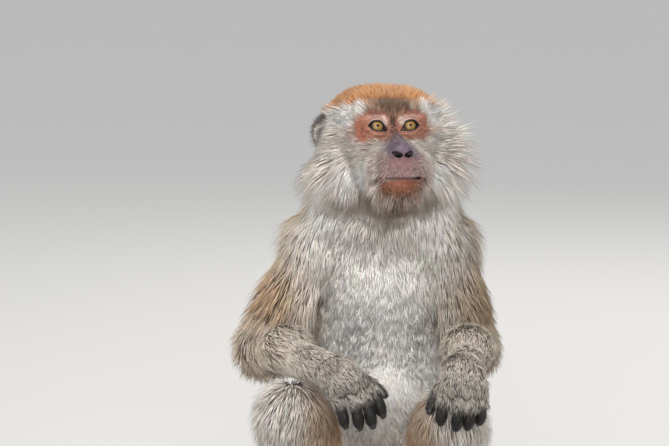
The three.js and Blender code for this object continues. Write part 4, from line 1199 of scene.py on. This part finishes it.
# ---------------------------------------------------------------- coat
# Solid tufts, each a thin blade with a ridge along it, rooted just under the skin. They lie the way the hair
# lies and gather in wisps. Roots are dark and tips pale, as banded hair is. The coat is in pieces by region,
# and each piece has a map of its own, with one small patch for each tuft.
TUFTS = 146_000
TUFT_SUNK = 1.0
WISP_SIZES = (4.5, 12.0)
PATCH = 0.003
NECK_TOP = 380
REGION_FACTORS = {
    "head": dict(more=2.5, wide=0.72, drawn=0.6),
    "arm": dict(more=1, wide=1, drawn=0.5),
    "leg": dict(more=0.82, wide=1, drawn=0.7),
}
draw = np.random.default_rng(11)


def by_region(names, what):
    """How many more tufts start in each one's region, how wide they are, or how far a wisp draws them."""
    factor = np.ones(len(names))
    for region, factors in REGION_FACTORS.items():
        factor[np.char.startswith(names, region)] = factors[what]
    return factor


# More tufts start where they are small, by a power of how much each covers. None start under the flats.
centre = skin_corners.mean(1)
kind, _, names = coat_at(centre, skin_normal[skin_triangles].mean(1))
tuft_size = kind[:, LENGTH] * (0.36 + 0.028 * kind[:, LENGTH])
chance = skin_area * kind[:, COVER] / tuft_size**0.85
chance *= by_region(names, "more")
chance[centre[:, 2] < 2.5] = 0
face = draw.choice(len(chance), TUFTS, p=chance / chance.sum())
share = draw.dirichlet((1, 1, 1), TUFTS)
root = (skin_corners[face] * share[..., None]).sum(1)
out = (skin_normal[skin_triangles[face]] * share[..., None]).sum(1)
out = out / np.linalg.norm(out, axis=1)[:, None]
kind, flow, names = coat_at(root, out)


SCATTER = np.array(((127.1, 269.5, 419.2), (311.7, 183.3, 371.9), (74.7, 246.1, 113.5)))


def wisp(p, size, seed):
    """For each place, the nearest of the scattered points that draw a wisp together, and its own number.
    Space is in cubes of `size`, each with a point at a random place in it: the fraction of a steep sine."""
    cell = np.floor(p / size)
    best = np.full(len(p), np.inf)
    point = np.zeros_like(p)
    own = np.zeros(len(p))
    for step in np.ndindex(3, 3, 3):
        other = cell + np.array(step) - 1
        jitter = (np.sin(other @ SCATTER + seed) * 43758.5453) % 1
        candidate = (other + jitter) * size
        gap = ((candidate - p) ** 2).sum(1)
        nearer = gap < best
        best[nearer] = gap[nearer]
        point[nearer] = candidate[nearer]
        own[nearer] = jitter[nearer, 0]
    return point, own


def flat_on(way, normal):
    """The part of a way that lies along the skin, one long."""
    way = way - (way * normal).sum(1)[:, None] * normal
    return way / np.maximum(np.linalg.norm(way, axis=1), 1e-6)[:, None]


length, lift = kind[:, LENGTH], np.radians(kind[:, LIFT])
small, small_own = wisp(root, WISP_SIZES[0], 1.0)
large, large_own = wisp(root, WISP_SIZES[1], 2.0)
lie = flat_on(flow, out)
sideways = np.cross(out, lie)
loose = np.clip(length / 18, 0.35, 1)
swerve = 0.2 * wander(root, 60, 21) + loose * (0.22 * (large_own - 0.5) + 0.3 * (small_own - 0.5))
swerve = swerve + draw.normal(0, 0.12, TUFTS)
lie = lie * np.cos(swerve)[:, None] + sideways * np.sin(swerve)[:, None]
sideways = np.cross(out, lie)
length = length * (0.76 + 0.24 * small_own + draw.uniform(0, 0.28, TUFTS))
lift = lift * np.clip(0.85 + 0.3 * large_own + draw.normal(0, 0.15, TUFTS), 0.5, 1.35)
width = np.minimum(0.16 + 0.05 * kind[:, LENGTH], 0.34 + 0.026 * kind[:, LENGTH])
width *= draw.uniform(0.8, 1.25, TUFTS)
width *= by_region(names, "wide")
pull = 0.4 * (small - root) + 0.12 * (large - root)
pull *= by_region(names, "drawn")[:, None]
pull = pull - (pull * out).sum(1)[:, None] * out
at_most = np.minimum(1, 0.35 * length / np.maximum(np.linalg.norm(pull, axis=1), 1e-6))
pull = pull * np.minimum(1, length / 14)[:, None] * at_most[:, None]
sag = 0.1 * np.clip(length / 20, 0, 1.3) * length

calm = np.where((names == "trunk") & (root[:, 1] < 2), 0.45, 1)  # the belly's hair is all of one shade
shade_root = kind[:, ROOT] * (0.94 + calm * (0.36 * draw.random(TUFTS) - 0.18))[:, None]
light = draw.normal(0, 0.3, TUFTS) + 0.35 * (small_own - 0.5) + 0.12 * wander(root, 40, 31)
light = np.clip(0.9 - 0.4 * (calm - 0.55) + calm * light, 0.0, 1.25)
shade_tip = kind[:, ROOT] + (kind[:, TIP] - kind[:, ROOT]) * light[:, None]
warm = 1 + 0.05 * draw.normal(size=(TUFTS, 3)) + 0.05 * wander(root, 25, 32)[:, None]
shade_tip = np.clip(shade_tip * warm, 0, 1)

# Each ring of a tuft: how far along it is, its share of the width, and of the tip's colour.
TUFT_RINGS = ((0.0, 0.85, 0.0), (0.42, 1.0, 0.55), (1.0, 0.0, 1.0))


def round_axis(p, a, b):
    """The turn of each place round the axis from a to b, and how far along it is, both 0 to 1."""
    axis = (b - a) / np.linalg.norm(b - a)
    side = np.cross(axis, (0.31, 0.95, 0.11))
    side = side / np.linalg.norm(side)
    turn = np.arctan2((p - a) @ np.cross(axis, side), (p - a) @ side) / (2 * np.pi) + 0.5
    return turn, np.clip((p - a) @ axis / np.linalg.norm(b - a), 0, 1)


LIMB_JOINTS = {"arm": ("shoulder", "elbow", "wrist", "knuckles"), "leg": ("hip", "knee", "ankle", "toes")}


def unwrapped(p, piece):
    """The skin laid out flat for a piece's map: round and along each long bone, one above the next, round
    the head as on a globe, and round and down the trunk."""
    if piece.startswith("head"):
        q = to_head(p) - (0, -8, -8)
        turn = np.arctan2(q[:, 0], -q[:, 1]) / (2 * np.pi) + 0.5
        return turn, np.arccos(q[:, 2] / np.linalg.norm(q, axis=1)) / np.pi
    if piece == "tail":
        line = tail_line[::3]
        _, nearest = near_line(p, line, tail_radius[::3])
        way = p - line[nearest]
        return np.arctan2(way[:, 2], way[:, 0] + way[:, 1]) / (2 * np.pi) + 0.5, nearest / len(line)
    limb, _, side = piece.partition("_")
    if limb in LIMB_JOINTS:
        at = [JOINTS[side][name] for name in LIMB_JOINTS[limb]]
        gaps = np.stack([bone(p, a, b, 0, 0) for a, b in zip(at, at[1:])])
        part = gaps.argmin(0)
        laid = np.stack([np.stack(round_axis(p, a, b)) for a, b in zip(at, at[1:])])
        turn, along = laid[part, :, np.arange(len(p))].T
        return turn, (part + along) / len(gaps)
    turn = np.arctan2(p[:, 0], 6 - p[:, 1]) / (2 * np.pi) + 0.5
    return turn, np.clip(p[:, 2] / NECK_TOP, 0, 1)


def tufts(piece, chosen):
    """Blades from roots: three corners at each ring but the last, two on the blade's edges and one on its
    ridge, along a line that leaves the skin at its lift, bends back, sags, and is drawn to its wisp."""
    count = chosen.sum()
    at, n, along, beside = root[chosen], out[chosen], lie[chosen], sideways[chosen]
    reach, up, wide = length[chosen, None], lift[chosen, None], width[chosen, None]
    ridge = 0.16 if piece == "chest" else 0.34
    rings, shades, ring_at = [], [], []
    for s, share, tipped in TUFT_RINGS:
        middle = at - n * TUFT_SUNK + along * reach * s * np.cos(up * (1 - 0.3 * s))
        middle = middle + n * (reach * np.sin(up) * (1.45 * s - 0.45 * s * s) + TUFT_SUNK * min(1, 2.4 * s))
        middle = middle + pull[chosen] * s**1.4 + (0, 0, -1) * sag[chosen, None] * s * s
        shade = shade_root[chosen] + (shade_tip[chosen] - shade_root[chosen]) * tipped
        corners = (-0.5, 0, 0.5) if share else (0,)
        for x in corners:
            rings.append(middle + beside * wide * share * x + n * wide * share * (ridge if x == 0 else 0))
            shades.append(shade)
            ring_at.append((x, s))
    per = len(rings)
    places = np.stack(rings, axis=1)
    places[..., 2] = np.maximum(places[..., 2], FLATS["tufts"])
    shades = np.stack(shades, axis=1)
    pattern = [(0, 1, 2)]
    for ring in range(len(TUFT_RINGS) - 2):
        a = 3 * ring
        for k in range(3):
            i, j = a + k, a + (k + 1) % 3
            pattern += [(i, i + 3, j), (j, i + 3, j + 3)]
    last = per - 1  # the tip, where the sides meet
    pattern += [(last - 3 + k, last, last - 3 + (k + 1) % 3) for k in range(3)]
    pattern = np.array(pattern)
    faces = (pattern[None] + per * np.arange(count)[:, None, None]).reshape(-1, 3)
    mesh = bpy.data.meshes.new("coat_" + piece)
    mesh.vertices.add(count * per)
    mesh.vertices.foreach_set("co", (places * MM).ravel())
    mesh.loops.add(faces.size)
    mesh.loops.foreach_set("vertex_index", faces.ravel())
    mesh.polygons.add(len(faces))
    mesh.polygons.foreach_set("loop_start", np.arange(0, faces.size, 3))
    smooth(mesh)
    mesh.update(calc_edges=True)
    colour_attribute(mesh, shades.reshape(-1, 3))
    turn, down = unwrapped(at, piece)
    corner = np.array(ring_at)[pattern.ravel()] + (0, -0.5)
    map_at = np.stack([turn, down], axis=1)[:, None] * 0.99 + 0.005 + corner[None] * PATCH
    mesh.uv_layers.new(name="OFBake").data.foreach_set("uv", map_at.ravel())
    return mesh


coat_material, shader = new_material("coat", {"Roughness": 0.6, "Specular IOR Level": 0.3})
feed(shader, "Base Color", add_node(coat_material, "Attribute", attribute_name="shade")["Color"])
PIECES = {"head_front": "coat", "head_top": "coat", "head_back": "coat", "neck": "coat"}
PIECES |= {"chest": "belly_coat", "back": "coat", "tail": "coat"}
PIECES |= {f"{limb}_{side}": "coat" for limb in LIMB_JOINTS for side in SIDES}
ahead = to_head(root)[:, 1] < -22
names = np.where(names == "head", np.where(ahead, "head_front", "head_back"), names)
names[(names == "head_back") & (to_head(root)[:, 2] > 12)] = "head_top"
names = np.where(names == "trunk", np.where(root[:, 1] < 2, "chest", "back"), names)
for piece, slot in PIECES.items():
    mesh = tufts(piece, names == piece)
    mesh.materials.append(coat_material)
    part = placed("coat_" + piece, mesh)
    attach(part, "root")

[[list(corner) for corner in box] for box in (solid_box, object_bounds())]
